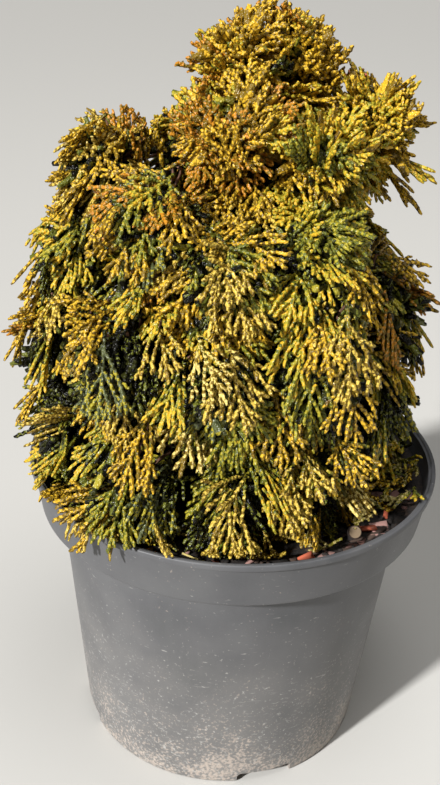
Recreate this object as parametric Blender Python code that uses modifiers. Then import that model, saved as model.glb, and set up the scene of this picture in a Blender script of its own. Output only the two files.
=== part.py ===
"""A golden dwarf hinoki cypress in a 7.5 litre nursery pot.

The pot stands on its flat underside at the origin, +Z is up and -Y is the front.
All sizes are in metres. Every mass of foliage keeps to its own convex cell of the crown,
so that no mass can reach its neighbour, and every bough ends where it enters its mass.
"""

import math
import random

import bmesh
import bpy
import numpy as np
from mathutils import Matrix, Vector
from mathutils.geometry import intersect_point_line

MM = 0.001
GAP = 0.3 * MM              # clearance between two solids that touch
GOLDEN_ANGLE = math.radians(137.508)
UP = Vector((0, 0, 1))

# Pot, a turned shell with a deep stacking collar
POT_HEIGHT = 204 * MM
LIP_RADIUS = 133 * MM
LIP_WIDTH = 5 * MM
LIP_HEIGHT = 4 * MM
COLLAR_RADIUS = 131 * MM    # just under the lip
COLLAR_FOOT_RADIUS = 126.5 * MM
COLLAR_HEIGHT = 33 * MM
SHOULDER_RADIUS = 114 * MM  # where the body meets the collar
FOOT_RADIUS = 97.5 * MM
WALL = 2 * MM
FLOOR_HEIGHT = 10 * MM      # the raised ring of the floor, with the drain holes in it
PAD_RADIUS = 58 * MM        # the flat middle, which stands on the ground
PAD_SLOPE = 4 * MM
FOOT_ROUND = 2 * MM
FOOT_WIDTH = 7 * MM         # the ring that the pot stands on
TURN_STEPS = 40             # the same for pot and soil, so that their flats lie together
NOTCH_COUNT = 4
NOTCH_TURN = math.radians(20)   # from the front towards the right
NOTCH_WIDTH = 38 * MM
NOTCH_HEIGHT = 8 * MM
NOTCH_DEPTH = 30 * MM
DRAIN_COUNT = 4
DRAIN_RADIUS = 6 * MM
DRAIN_CIRCLE = 78 * MM

# Potting soil, a little higher at the trunk's foot
SOIL_LEVEL = 189 * MM
SOIL_RISE = 4 * MM
SOIL_FLAT_RADIUS = 26 * MM
SOIL_SLOPE_RADIUS = 72 * MM

# Trunk, from the soil to where it enters the top mass
TRUNK_FOOT = Vector((-5 * MM, 4 * MM, 0)) + UP * (SOIL_LEVEL + SOIL_RISE + GAP)
TRUNK_TIP = Vector((-6 * MM, -2 * MM, 424 * MM))
TRUNK_BOW = Vector((5 * MM, 3 * MM, 0))     # how far its middle stands aside
TRUNK_FOOT_RADIUS = 9.5 * MM
TRUNK_TIP_RADIUS = 2.6 * MM
ROOT_FLARE = 5.5 * MM
FLARE_HEIGHT = 14 * MM
TRUNK_STATIONS = 8
TRUNK_SIDES = 16
STATION_CROWDING = 1.4      # above 1 the stations crowd towards the flare
CUT_HEIGHT = 2 * MM         # the upright first stretch, above the level cut
CUT_SHARE = 0.92            # its upper radius, against its lower one

# Boughs
BOUGH_BASE_RADIUS = 3.4 * MM
BOUGH_TIP_RADIUS = 2.0 * MM
BOUGH_SIDES = 6
BOUGH_COLLAR = 3 * MM       # the straight start, square to the trunk
BOUGH_SLOPE = 0.6           # rise over run, where there is room
BOUGH_LOWEST, BOUGH_HIGHEST = 0.03, 0.97    # where they leave the trunk, as its share
BOUGH_ENTRY = 0.35          # how steeply one comes in under its mass
BOUGH_END = 0.62            # how far from a mass's centre one ends, against the reach
BOUGH_CLEARANCE = 1.2 * MM
BOUGH_TRIES = 60
BOUGH_STEP = 0.05

# Foliage
CELL_MARGIN = 0.6 * MM
LIMB_MARGIN = 0.8 * MM
RIM_MARGIN = 1.5 * MM
CORE_OUT, CORE_SIDE, CORE_IN = 0.55, 1.25, 1.2      # the dense inside, against the reach
CORE_LUMPS = (0.90, 1.08)
CORE_SHRINK = 0.95          # each step by which a corner is drawn in to its cell
STEM_RADIUS, STEM_SIDES = 1.9 * MM, 5
TWIG_RADIUS, TWIG_SIDES = 1.5 * MM, 3
STICK_TAPER = 0.65
TWIG_UNEVEN = (0.9, 1.1)
TWIG_SPREADS = (0.15, 0.60, 0.90, 1.15, 0.75, 1.30, 1.05, 1.40)     # off the outward line
SPRAY_ROOT = 0.45           # where a spray leaves its twig, against the mass's reach
SPRAY_LENGTH = 1.2          # how far it goes on, against the way to the mass's rounded reach
SPRAY_FLOW = 0.5            # the crown's sweep, against the twig's own direction
SPRAY_TEETH = 5
SPRAY_HALF_ANGLE = math.radians(56)
SPRAY_NOTCH = 0.70          # depth of the gap between two fingers
SPRAY_THICKNESS = 1.7 * MM
SPRAY_DROOP = 0.16
SPRAY_CUP = (-0.06, 0.10)   # its sides, from hanging to lifted
SPRAY_RAGGED = (0.93, 1.05)
SPRAY_ROUND = 0.16          # how much shorter its outer fingers are
SPRAY_HEEL = 0.05           # half the width at its root, against its length
SPRAY_FACE_UP = 0.35
SPRAY_ASKEW = (0.25, 0.25, 0.15)
SPRAY_LEAST_FACE = 0.15
SPRAY_TRIES = (1.0, 0.88, 0.76, 0.64, 0.52)     # sizes tried before a spray is left out
OUT_FLOW = 0.8              # the crown's sweep away from the trunk
LOW_FLOW, HIGH_FLOW = -0.7, 0.9     # its sweep down at the skirt and up at the tip
FLOW_HEIGHTS = (220 * MM, 450 * MM)
UPRIGHT_RADIUS = 30 * MM    # masses nearer the trunk than this grow upwards, not outwards

# name: centre x, y, z; reach sideways; reach up and down, all in mm. The first is the tip's.
MASSES = {
    "apex_left": (-6, -8, 452, 32, 28),
    "apex_right": (22, 8, 452, 29, 31),
    "crown_front": (-10, -42, 420, 37, 29),
    "crown_right_front": (38, -40, 406, 35, 29),
    "crown_right": (67, 2, 416, 35, 37),
    "crown_left": (-82, 0, 387, 36, 34),
    "crown_back_left": (-34, 44, 388, 38, 34),
    "crown_back_right": (32, 54, 398, 38, 34),
    "shelf_left_front": (-50, -66, 374, 38, 28),
    "shelf_front": (-10, -84, 350, 36, 33),
    "shelf_right_front": (38, -76, 356, 37, 32),
    "middle_left": (-97, -4, 334, 40, 34),
    "middle_right": (82, -8, 308, 38, 42),
    "middle_back_left": (-62, 62, 328, 44, 38),
    "middle_back": (4, 84, 332, 42, 38),
    "middle_back_right": (62, 56, 328, 41, 38),
    "lower_left": (-105, -12, 270, 42, 42),
    "lower_left_front": (-62, -76, 296, 42, 38),
    "lower_front": (-8, -96, 286, 36, 34),
    "lower_right_front": (42, -84, 298, 37, 36),
    "lower_right": (81, -18, 252, 42, 40),
    "skirt_left": (-97, -46, 228, 40, 30),
    "skirt_left_front": (-60, -94, 224, 43, 25),
    "skirt_front": (2, -94, 224, 39, 27),
    "skirt_right_front": (50, -70, 224, 38, 27),
    "skirt_back_left": (-74, 56, 248, 44, 40),
    "skirt_back": (2, 84, 248, 42, 40),
    "skirt_back_right": (66, 52, 248, 41, 40),
}

# Colours, roughness and metallic value of the plain materials
FINISHES = {
    "pot_plastic": ((0.055, 0.056, 0.058), 0.55),
    "potting_soil": ((0.045, 0.030, 0.021), 0.95),
    "bark": ((0.130, 0.075, 0.045), 0.90),
    "foliage_gold": ((0.420, 0.300, 0.035), 0.60),
    "foliage_green": ((0.135, 0.180, 0.030), 0.60),
}
SHADED_SIDES = ("right", "back")    # whose foliage stays green


# Scene and materials

def clear_scene():
    for obj in list(bpy.data.objects):
        bpy.data.objects.remove(obj)


def make_collection(name):
    made = bpy.data.collections.new(name)
    bpy.context.scene.collection.children.link(made)
    return made


def make_material(name):
    colour, roughness = FINISHES[name]
    material = bpy.data.materials.new(name)
    material.use_nodes = True
    shader = material.node_tree.nodes["Principled BSDF"]
    shader.inputs["Base Color"].default_value = (*colour, 1)
    shader.inputs["Roughness"].default_value = roughness
    shader.inputs["Metallic"].default_value = 0
    return material


def add_object(name, data, collection, material=None):
    obj = bpy.data.objects.new(name, data)
    collection.objects.link(obj)
    if material:
        data.materials.append(material)
    return obj


def mesh_from(bm, name):
    mesh = bpy.data.meshes.new(name)
    bm.to_mesh(mesh)
    bm.free()
    return mesh


def clamp(value, low, high):
    return max(low, min(high, value))


def turn_profile(name, points, steps, collection, material):
    """A solid turned about +Z from (radius, height) points, which run down its outer side."""
    bm = bmesh.new()
    verts = [bm.verts.new((radius, 0, height)) for radius, height in points]
    for first, second in zip(verts, verts[1:]):
        bm.edges.new((first, second))
    obj = add_object(name, mesh_from(bm, name), collection, material)
    screw = obj.modifiers.new("turn", "SCREW")
    screw.steps = screw.render_steps = steps
    screw.use_merge_vertices = True
    screw.merge_threshold = 0.00005
    return obj


def cut_with(obj, cutters):
    cut = obj.modifiers.new("cut", "BOOLEAN")
    cut.operation = "DIFFERENCE"
    cut.operand_type = "COLLECTION"
    cut.collection = cutters
    cut.solver = "EXACT"


# Pot and soil

def body_radius(height):
    """The outer radius of the pot's body, which tapers evenly down to the foot."""
    share = height / (POT_HEIGHT - COLLAR_HEIGHT)
    return FOOT_RADIUS + (SHOULDER_RADIUS - FOOT_RADIUS) * share


def inner_collar_radius(height):
    """The inner radius of the collar, which widens evenly up to the lip."""
    foot = POT_HEIGHT - COLLAR_HEIGHT + 2 * WALL
    share = (height - foot) / (POT_HEIGHT - LIP_HEIGHT - foot)
    return COLLAR_FOOT_RADIUS + (COLLAR_RADIUS - COLLAR_FOOT_RADIUS) * share - WALL


def pot_profile():
    """(radius, height) from the middle of the floor's upper side, over the lip, to the pad."""
    shoulder = POT_HEIGHT - COLLAR_HEIGHT
    foot = body_radius(0)
    return [
        (0, WALL),
        (PAD_RADIUS - PAD_SLOPE, WALL),
        (PAD_RADIUS + PAD_SLOPE, FLOOR_HEIGHT + WALL),
        (body_radius(FLOOR_HEIGHT + WALL) - WALL, FLOOR_HEIGHT + WALL),
        (body_radius(shoulder) - WALL, shoulder + WALL),
        (COLLAR_FOOT_RADIUS - WALL, shoulder + 2 * WALL),
        (COLLAR_RADIUS - WALL, POT_HEIGHT - LIP_HEIGHT),
        (LIP_RADIUS - 0.7 * LIP_WIDTH, POT_HEIGHT),
        (LIP_RADIUS - 0.2 * LIP_WIDTH, POT_HEIGHT),
        (LIP_RADIUS, POT_HEIGHT - 0.3 * LIP_HEIGHT),
        (LIP_RADIUS, POT_HEIGHT - 0.8 * LIP_HEIGHT),
        (COLLAR_RADIUS, POT_HEIGHT - LIP_HEIGHT),
        (COLLAR_FOOT_RADIUS, shoulder),
        (body_radius(shoulder), shoulder),
        (body_radius(FOOT_ROUND), FOOT_ROUND),
        (foot - 0.5 * FOOT_ROUND, 0),
        (foot - FOOT_WIDTH, 0),
        (foot - FOOT_WIDTH, FLOOR_HEIGHT),
        (PAD_RADIUS + PAD_SLOPE, FLOOR_HEIGHT),
        (PAD_RADIUS, 0),
        (0, 0),
    ]


def make_pot(parts, cutters, material):
    pot = turn_profile("pot", pot_profile()[::-1], TURN_STEPS, parts, material)
    for turn in range(NOTCH_COUNT):
        angle = NOTCH_TURN + turn * math.tau / NOTCH_COUNT
        bm = bmesh.new()
        bmesh.ops.create_cube(bm, size=1)
        bmesh.ops.scale(bm, verts=bm.verts, vec=(NOTCH_WIDTH, NOTCH_DEPTH, 2 * NOTCH_HEIGHT))
        bmesh.ops.translate(bm, verts=bm.verts, vec=(0, -FOOT_RADIUS, 0))
        bmesh.ops.rotate(bm, verts=bm.verts, matrix=Matrix.Rotation(angle, 3, "Z"))
        hide_cutter(add_object(f"notch_{turn + 1}", mesh_from(bm, "notch"), cutters))
    for turn in range(DRAIN_COUNT):
        angle = NOTCH_TURN + turn * math.tau / DRAIN_COUNT
        bm = bmesh.new()
        bmesh.ops.create_cone(bm, cap_ends=True, segments=10, radius1=DRAIN_RADIUS,
                              radius2=DRAIN_RADIUS, depth=2 * FLOOR_HEIGHT)
        bmesh.ops.translate(bm, verts=bm.verts, vec=(0, -DRAIN_CIRCLE, FLOOR_HEIGHT))
        bmesh.ops.rotate(bm, verts=bm.verts, matrix=Matrix.Rotation(angle, 3, "Z"))
        hide_cutter(add_object(f"drain_{turn + 1}", mesh_from(bm, "drain"), cutters))
    cut_with(pot, cutters)
    return pot


def hide_cutter(obj):
    obj.hide_render = True
    obj.display_type = "WIRE"


def make_soil(parts, material):
    """The filling, which rests on the raised floor and follows the pot's inner wall."""
    shoulder = POT_HEIGHT - COLLAR_HEIGHT
    bottom = FLOOR_HEIGHT + WALL + GAP
    top = SOIL_LEVEL + SOIL_RISE
    wall_gap = WALL + GAP
    edge = SOIL_LEVEL - 0.25 * SOIL_RISE
    profile = [
        (0, top),
        (SOIL_FLAT_RADIUS, top),
        (SOIL_SLOPE_RADIUS, SOIL_LEVEL + 0.4 * SOIL_RISE),
        (inner_collar_radius(edge) - GAP, edge),
        (inner_collar_radius(shoulder + 2 * WALL) - GAP, shoulder + 2 * WALL + GAP),
        (body_radius(shoulder) - wall_gap, shoulder + WALL + GAP),
        (body_radius(bottom) - wall_gap, bottom),
        (0, bottom),
    ]
    return turn_profile("soil", profile, TURN_STEPS, parts, material)


# Trunk and boughs

def trunk_point(share):
    """A point of the trunk's axis, from 0 at the soil to 1 at the tip."""
    bow = TRUNK_BOW * math.sin(math.pi * share)
    return TRUNK_FOOT.lerp(TRUNK_TIP, share) + bow


def trunk_share(height):
    return (height - TRUNK_FOOT.z) / (TRUNK_TIP.z - TRUNK_FOOT.z)


def outward_from_trunk(point):
    """The level line from the trunk's axis to a point."""
    return (point - trunk_point(clamp(trunk_share(point.z), 0, 1))).xy.to_3d()


def trunk_radius(share):
    above = share * (TRUNK_TIP.z - TRUNK_FOOT.z)
    flare = ROOT_FLARE * math.exp(-above / FLARE_HEIGHT)
    return TRUNK_FOOT_RADIUS + (TRUNK_TIP_RADIUS - TRUNK_FOOT_RADIUS) * share + flare


def tapered_tube(name, stations, sides, collection, material):
    """A limb along (point, radius) stations, as a mesh with closed ends."""
    curve = bpy.data.curves.new(name, "CURVE")
    curve.dimensions = "3D"
    curve.bevel_depth = 1
    curve.bevel_resolution = (sides - 4) // 2
    curve.use_fill_caps = True
    spline = curve.splines.new("POLY")
    spline.points.add(len(stations) - 1)
    for point, (place, radius) in zip(spline.points, stations):
        point.co = (*place, 1)
        point.radius = radius
    return add_object(name, curve, collection, material)


def trunk_stations():
    steps = [number / (TRUNK_STATIONS - 1) for number in range(TRUNK_STATIONS)]
    shares = [step ** STATION_CROWDING for step in steps]
    stations = [(trunk_point(share), trunk_radius(share)) for share in shares]
    # The first stretch is upright, so that the cut at the soil is level.
    foot, radius = stations[0]
    return [(foot, radius), (foot + UP * CUT_HEIGHT, radius * CUT_SHARE)] + stations[1:]


def trunk_surface(height):
    """The radius of the trunk's own solid, which runs straight from station to station."""
    stations = trunk_stations()
    for (low, wide), (high, slim) in zip(stations, stations[1:]):
        if height <= high.z:
            share = max(0, (height - low.z) / (high.z - low.z))
            return wide + (slim - wide) * share
    return TRUNK_TIP_RADIUS


def centre_of(name):
    return Vector(MASSES[name][:3]) * MM


def reach_of(name):
    return MASSES[name][3] * MM, MASSES[name][4] * MM


def tip_of_bough(name):
    """Where a bough enters its mass: on the near side of the mass's dense core."""
    centre = centre_of(name)
    wide = reach_of(name)[0]
    inward = -outward_from_trunk(centre)
    inward.z -= BOUGH_ENTRY * inward.xy.length
    length = min(BOUGH_END * wide, 0.5 * inward.length)
    return centre + inward.normalized() * length


def bough_stations(name, rise):
    """The bough's axis: square off the trunk, then up and out to its mass."""
    tip = tip_of_bough(name)
    share = clamp(trunk_share(tip.z - rise), BOUGH_LOWEST, BOUGH_HIGHEST)
    axis = trunk_point(share)
    outward = (tip - axis).xy.normalized().to_3d()
    thick = min(BOUGH_BASE_RADIUS, 0.6 * trunk_radius(share))
    start = axis + outward * (trunk_surface(axis.z - thick) + GAP)
    shoulder = start + outward * BOUGH_COLLAR
    return [(start, thick), (shoulder, 0.9 * thick), (tip, min(BOUGH_TIP_RADIUS, 0.7 * thick))]


def along(stations, steps=12):
    """Places and radii all along a limb, for the clearance tests."""
    for (first, wide), (second, slim) in zip(stations, stations[1:]):
        for step in range(steps + 1):
            share = step / steps
            yield first.lerp(second, share), wide + (slim - wide) * share


def limb_room(places, others):
    """The smallest clearance between one limb's places and those of other limbs."""
    return min(((place - other).length - radius - other_radius
                for place, radius in places for other, other_radius in others), default=1.0)


def pick_bough(name, others):
    """The bough nearest the natural slope that stays clear of those already placed."""
    run = (tip_of_bough(name) - TRUNK_FOOT).xy.length
    for step in range(BOUGH_TRIES):
        aside = (step + 1) // 2 * (1 if step % 2 else -1)
        stations = bough_stations(name, run * (BOUGH_SLOPE + aside * BOUGH_STEP))
        if limb_room(list(along(stations)), others) > BOUGH_CLEARANCE:
            return stations
    raise ValueError(f"no room on the trunk for the bough of {name}")


def pick_boughs():
    """Every mass but the tip's has a bough. They are placed from the top of the trunk down."""
    boughs, taken = {}, []
    for name in list(MASSES)[1:]:
        boughs[name] = pick_bough(name, taken)
        taken += along(boughs[name])
    return boughs


# Cells: the share of the crown that each mass keeps to

class Cell:
    """The convex space of one mass, as planes that all its corners must lie inside of.

    Planes part it from every other mass, from the trunk and from every bough. The space is
    convex, so a flat piece whose corners are all inside it is inside it as a whole.
    """

    def __init__(self, name, boughs):
        self.name = name
        self.middle = centre_of(name)
        if name in boughs:
            (before, _), (self.door, _) = boughs[name][-2:]
        else:
            (before, _), (self.door, _) = trunk_stations()[-2:]
        self.inward = (self.door - before).normalized()
        self.outward = outward_from_trunk(self.middle)
        self.rise = (self.middle.z - FLOW_HEIGHTS[0]) / (FLOW_HEIGHTS[1] - FLOW_HEIGHTS[0])
        flat = self.outward.normalized() * min(1, self.outward.length / UPRIGHT_RADIUS)
        self.axis = (flat + UP * self.rise).normalized()
        planes = [(self.inward, self.inward.dot(self.door) + 2 * GAP)]
        planes += [self.against_mass(other) for other in MASSES if other != name]
        limbs = [stations for owner, stations in boughs.items() if owner != name]
        for stations in [*limbs, trunk_stations()]:
            planes += [self.against_limb(*pair) for pair in zip(stations, stations[1:])]
        planes.append((UP, SOIL_LEVEL + SOIL_RISE + LIMB_MARGIN))
        self.normals = np.array([normal for normal, _ in planes])
        self.depths = np.array([depth for _, depth in planes])

    def against_mass(self, other):
        """The plane between two masses, nearer the smaller one."""
        line = self.middle - centre_of(other)
        own, rival = sum(reach_of(self.name)) / 2, sum(reach_of(other)) / 2
        share = 0.5 + (rival ** 2 - own ** 2) / (2 * line.length_squared)
        normal = line.normalized()
        return normal, normal.dot(centre_of(other) + line * share) + CELL_MARGIN

    def against_limb(self, first, second):
        """The plane square to the shortest line from a stretch of limb to the middle."""
        nearest, share = intersect_point_line(self.middle, first[0], second[0])
        nearest = first[0].lerp(second[0], clamp(share, 0, 1))
        normal = (self.middle - nearest).normalized()
        return normal, normal.dot(nearest) + max(first[1], second[1]) + LIMB_MARGIN

    def holds(self, points):
        points = np.array(points)
        if (points @ self.normals.T < self.depths).any():
            return False
        across = np.hypot(points[:, 0], points[:, 1])
        at_rim = across > LIP_RADIUS - LIP_WIDTH - RIM_MARGIN
        return not (at_rim & (points[:, 2] < POT_HEIGHT + RIM_MARGIN)).any()

    def holds_blade(self, points):
        """Tests the corners, and places between them and their middle, for the pot's rim."""
        middle = sum(points, Vector()) / len(points)
        return self.holds([middle.lerp(point, share) for point in points
                           for share in (0.5, 1.0)])


# Foliage

def make_core(cell, rng):
    """The dense inside of a mass: wide, shallow to the outside, and drawn in to its cell."""
    wide, high = reach_of(cell.name)
    bm = bmesh.new()
    bmesh.ops.create_uvsphere(bm, u_segments=8, v_segments=5, radius=1)
    for vert in bm.verts:
        ahead = vert.co.dot(cell.axis)
        aside = vert.co - cell.axis * ahead
        shaped = cell.axis * ahead * (CORE_OUT if ahead > 0 else CORE_IN) + aside * CORE_SIDE
        reach = Vector((shaped.x * wide, shaped.y * wide, shaped.z * high))
        reach *= rng.uniform(*CORE_LUMPS)
        while not cell.holds([cell.middle + reach]) and reach.length > 2 * MM:
            reach *= CORE_SHRINK
        vert.co = cell.middle + reach
    return mesh_from(bm, f"{cell.name}_core")


def make_stick(start, end, radius, sides):
    """A tapering stem or twig between two points."""
    bm = bmesh.new()
    line = end - start
    bmesh.ops.create_cone(bm, cap_ends=True, segments=sides, radius1=radius,
                          radius2=STICK_TAPER * radius, depth=line.length)
    turn = line.to_track_quat("Z", "Y").to_matrix()
    bmesh.ops.rotate(bm, verts=bm.verts, matrix=turn)
    bmesh.ops.translate(bm, verts=bm.verts, vec=(start + end) / 2)
    return mesh_from(bm, "stick")


def spray_outline(length):
    """The fan's corners in its own plane, from its root along +X: fingers with gaps between."""
    heel = SPRAY_HEEL * length
    corners = [(0, -heel)]
    for step in range(2 * SPRAY_TEETH - 1):
        share = step / (SPRAY_TEETH - 1) - 1
        finger = length * (1 - SPRAY_ROUND * abs(share) ** 1.5)
        radius = finger if step % 2 == 0 else finger * SPRAY_NOTCH
        angle = SPRAY_HALF_ANGLE * share
        corners.append((radius * math.cos(angle), radius * math.sin(angle)))
    return corners + [(0, heel)]


def make_spray(root, heading, face, length, rng):
    """A toothed blade, thickest in the middle and sharp at its rim, that droops outwards."""
    outline = spray_outline(length)
    bm = bmesh.new()
    bmesh.ops.create_uvsphere(bm, u_segments=len(outline), v_segments=2, radius=1)
    side = face.cross(heading).normalized()
    sag = UP * 0.6 + face * 0.4
    poles = [vert for vert in bm.verts if abs(vert.co.z) > 0.5]
    rim = sorted((vert for vert in bm.verts if abs(vert.co.z) <= 0.5),
                 key=lambda vert: math.atan2(vert.co.y, vert.co.x))
    cup = rng.uniform(*SPRAY_CUP)
    for vert, (ahead, across) in zip(rim, outline):
        ahead *= rng.uniform(*SPRAY_RAGGED)
        lift = (cup * across ** 2 - SPRAY_DROOP * ahead ** 2) / length
        vert.co = root + heading * ahead + side * across + sag * lift
    hub = root + heading * 0.5 * length - sag * SPRAY_DROOP * 0.25 * length
    for vert in poles:
        vert.co = hub + face * math.copysign(SPRAY_THICKNESS, vert.co.z)
    return mesh_from(bm, "spray")


def length_to_reach(cell, root, heading):
    """How far a line from a root goes before it passes the mass's rounded reach."""
    wide, high = reach_of(cell.name)
    offset = root - cell.middle
    start = Vector((offset.x / wide, offset.y / wide, offset.z / high))
    line = Vector((heading.x / wide, heading.y / wide, heading.z / high))
    half = start.dot(line)
    inside = 1 - start.length_squared
    return (math.sqrt(half ** 2 + line.length_squared * inside) - half) / line.length_squared


def twig_headings(cell, rng):
    """Directions by the golden angle about the line that leads out of the crown."""
    axis = cell.axis
    aside = axis.cross(UP if abs(axis.z) < 0.9 else Vector((0, -1, 0))).normalized()
    above = aside.cross(axis)
    start = rng.uniform(0, math.tau)
    for number, usual_spread in enumerate(TWIG_SPREADS):
        spread = usual_spread * rng.uniform(*TWIG_UNEVEN)
        turn = start + number * GOLDEN_ANGLE
        around = aside * math.cos(turn) + above * math.sin(turn)
        yield (axis * math.cos(spread) + around * math.sin(spread)).normalized()


def spray_heading(cell, direction):
    """Sprays sweep out of the crown, hanging over at the skirt and upright at the tip."""
    lift = LOW_FLOW + (HIGH_FLOW - LOW_FLOW) * clamp(cell.rise, 0, 1)
    flow = cell.outward.normalized() * OUT_FLOW + UP * lift
    return (direction + flow * SPRAY_FLOW).normalized()


def spray_face(direction, heading, rng):
    """A spray lies over the mass like a shingle, a little askew."""
    lean = Vector([rng.gauss(0, askew) for askew in SPRAY_ASKEW])
    face = direction + UP * SPRAY_FACE_UP + lean
    square = face - heading * face.dot(heading)
    if square.length < SPRAY_LEAST_FACE:
        square = UP - heading * heading.z + lean
    return square.normalized()


def fitting_spray(cell, root, heading, face, length, rng):
    """The largest spray that keeps to the mass's cell, or None."""
    state = rng.getstate()
    for size in SPRAY_TRIES:
        rng.setstate(state)
        mesh = make_spray(root, heading, face, length * size, rng)
        if cell.holds_blade([vert.co.copy() for vert in mesh.vertices]):
            return mesh
        bpy.data.meshes.remove(mesh)
    return None


def grow_twig(cell, direction, rng):
    """A twig from the mass's stem and the spray that it ends in, as meshes."""
    reach = length_to_reach(cell, cell.middle, direction)
    root = cell.middle + direction * SPRAY_ROOT * reach * rng.uniform(*TWIG_UNEVEN)
    heading = spray_heading(cell, direction)
    face = spray_face(direction, heading, rng)
    length = SPRAY_LENGTH * length_to_reach(cell, root, heading)
    spray = fitting_spray(cell, root, heading, face, length, rng)
    if not spray:
        return []
    twig_end = root + heading * TWIG_RADIUS
    return [make_stick(cell.middle, twig_end, TWIG_RADIUS, TWIG_SIDES), spray]


def fuse(name, core, meshes, collection, material):
    """Joins a mass into one closed solid and clears its pieces away."""
    joined = bpy.data.collections.new(f"{name}_pieces")
    bpy.context.scene.collection.children.link(joined)
    mass = add_object(name, core, collection)
    for number, mesh in enumerate(meshes):
        add_object(f"{name}_piece_{number}", mesh, joined)
    union = mass.modifiers.new("join", "BOOLEAN")
    union.operation = "UNION"
    union.operand_type = "COLLECTION"
    union.collection = joined
    union.solver = "MANIFOLD"
    graph = bpy.context.evaluated_depsgraph_get()
    solid = bpy.data.meshes.new_from_object(mass.evaluated_get(graph))
    mass.modifiers.remove(union)
    mass.data = solid
    keep_largest(solid)
    solid.materials.clear()
    solid.materials.append(material)
    for obj in list(joined.objects):
        bpy.data.objects.remove(obj)
    bpy.data.collections.remove(joined)
    return mass


def keep_largest(mesh):
    """Drops loose scraps, which are all but the largest connected piece."""
    bm = bmesh.new()
    bm.from_mesh(mesh)
    unseen, islands = set(bm.verts), []
    while unseen:
        front = [unseen.pop()]
        island = list(front)
        while front:
            for edge in front.pop().link_edges:
                for vert in edge.verts:
                    if vert in unseen:
                        unseen.discard(vert)
                        front.append(vert)
                        island.append(vert)
        islands.append(island)
    islands.sort(key=len)
    for island in islands[:-1]:
        bmesh.ops.delete(bm, geom=island, context="VERTS")
    bm.to_mesh(mesh)
    bm.free()


def make_mass(name, boughs, collection, material):
    rng = random.Random(name)
    cell = Cell(name, boughs)
    # The stem's square end is tilted against the bough's, so it starts a little further off.
    slant = cell.inward.angle(cell.middle - cell.door)
    start = cell.door + cell.inward * (GAP + STEM_RADIUS * math.sin(slant))
    meshes = [make_stick(start, cell.middle, STEM_RADIUS, STEM_SIDES)]
    for direction in twig_headings(cell, rng):
        meshes += grow_twig(cell, direction, rng)
    return fuse(name, make_core(cell, rng), meshes, collection, material)


def main():
    clear_scene()
    parts = make_collection("potted_conifer")
    cutters = make_collection("cutters")
    materials = {name: make_material(name) for name in FINISHES}

    make_pot(parts, cutters, materials["pot_plastic"])
    make_soil(parts, materials["potting_soil"])
    tapered_tube("trunk", trunk_stations(), TRUNK_SIDES, parts, materials["bark"])

    boughs = pick_boughs()
    for name, stations in boughs.items():
        tapered_tube(f"bough_{name}", stations, BOUGH_SIDES, parts, materials["bark"])
    for name in MASSES:
        shaded = any(side in name for side in SHADED_SIDES)
        foliage = materials["foliage_green" if shaded else "foliage_gold"]
        make_mass(name, boughs, parts, foliage)


main()
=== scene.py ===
# %% [markdown]
# # A golden dwarf cypress in its nursery pot
#
# The pot, the soil, the trunk, the boughs and one plain solid for each mass of foliage are packed
# as a fixed frame. This notebook dresses that frame. Every piece is made in metres in the frame's
# own space, so nothing has to be fitted afterwards.

import math
import random

import bmesh
import bpy
import numpy as np
from mathutils import Matrix, Vector, noise


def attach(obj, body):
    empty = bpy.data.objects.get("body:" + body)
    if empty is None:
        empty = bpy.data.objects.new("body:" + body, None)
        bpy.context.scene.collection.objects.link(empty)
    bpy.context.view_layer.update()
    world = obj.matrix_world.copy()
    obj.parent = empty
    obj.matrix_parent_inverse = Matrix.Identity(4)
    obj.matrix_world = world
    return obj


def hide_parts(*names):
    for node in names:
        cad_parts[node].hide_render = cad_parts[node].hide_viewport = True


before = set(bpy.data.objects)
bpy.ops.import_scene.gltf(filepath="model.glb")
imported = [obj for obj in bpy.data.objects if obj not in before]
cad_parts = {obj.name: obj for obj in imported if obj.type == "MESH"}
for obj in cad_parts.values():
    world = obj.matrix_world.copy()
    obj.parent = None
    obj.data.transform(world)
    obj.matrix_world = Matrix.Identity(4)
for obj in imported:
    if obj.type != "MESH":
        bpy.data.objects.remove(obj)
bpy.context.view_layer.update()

MM = 0.001
UP = Vector((0, 0, 1))
GAP = 0.3 * MM
WELD = 0.01 * MM        # corners nearer than this are one
GOLDEN_ANGLE = math.radians(137.508)


# %% [markdown]
# ## Small tools
#
# Colours are sRGB hex values, as a paint chart gives them, but shaders work in linear light, so
# one function turns them over. One more adds a shader node with its settings and its links in a
# single call, and hands back the output that the next node needs.

# %% Colour, nodes and objects
STANDING_NODES = ("Principled BSDF", "Background")      # a new tree has its own


def linear(hex_colour):
    """An sRGB hex colour as the linear red, green, blue and alpha that a shader wants."""
    channels = [int(hex_colour[i:i + 2], 16) / 255 for i in (1, 3, 5)]
    return (*[c / 12.92 if c <= 0.04045 else ((c + 0.055) / 1.055) ** 2.4 for c in channels], 1)


def add(tree, kind, settings=None, out=0, **sockets):
    """Adds a node, sets its settings and sockets, and returns one of its outputs.

    A socket's value is a constant, a hex colour, or the output that is linked to it. A colour
    ramp's stops are (position, hex colour or grey level) pairs.
    """
    node = tree.nodes[kind] if kind in STANDING_NODES else tree.nodes.new("ShaderNode" + kind)
    for name, value in (settings or {}).items():
        if name != "stops":
            setattr(node, name, value)
            continue
        elements = node.color_ramp.elements
        while len(elements) < len(value):
            elements.new(0.5)
        for element, (position, colour) in zip(elements, value):
            element.position = position
            element.color = linear(colour) if isinstance(colour, str) else (colour,) * 3 + (1,)
    for name, value in sockets.items():
        key = int(name[1:]) if name[0] == "_" else name.replace("_", " ")
        if isinstance(value, bpy.types.NodeSocket):
            tree.links.new(value, node.inputs[key])
        else:
            node.inputs[key].default_value = linear(value) if isinstance(value, str) else value
    return node.outputs[out]


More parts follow.
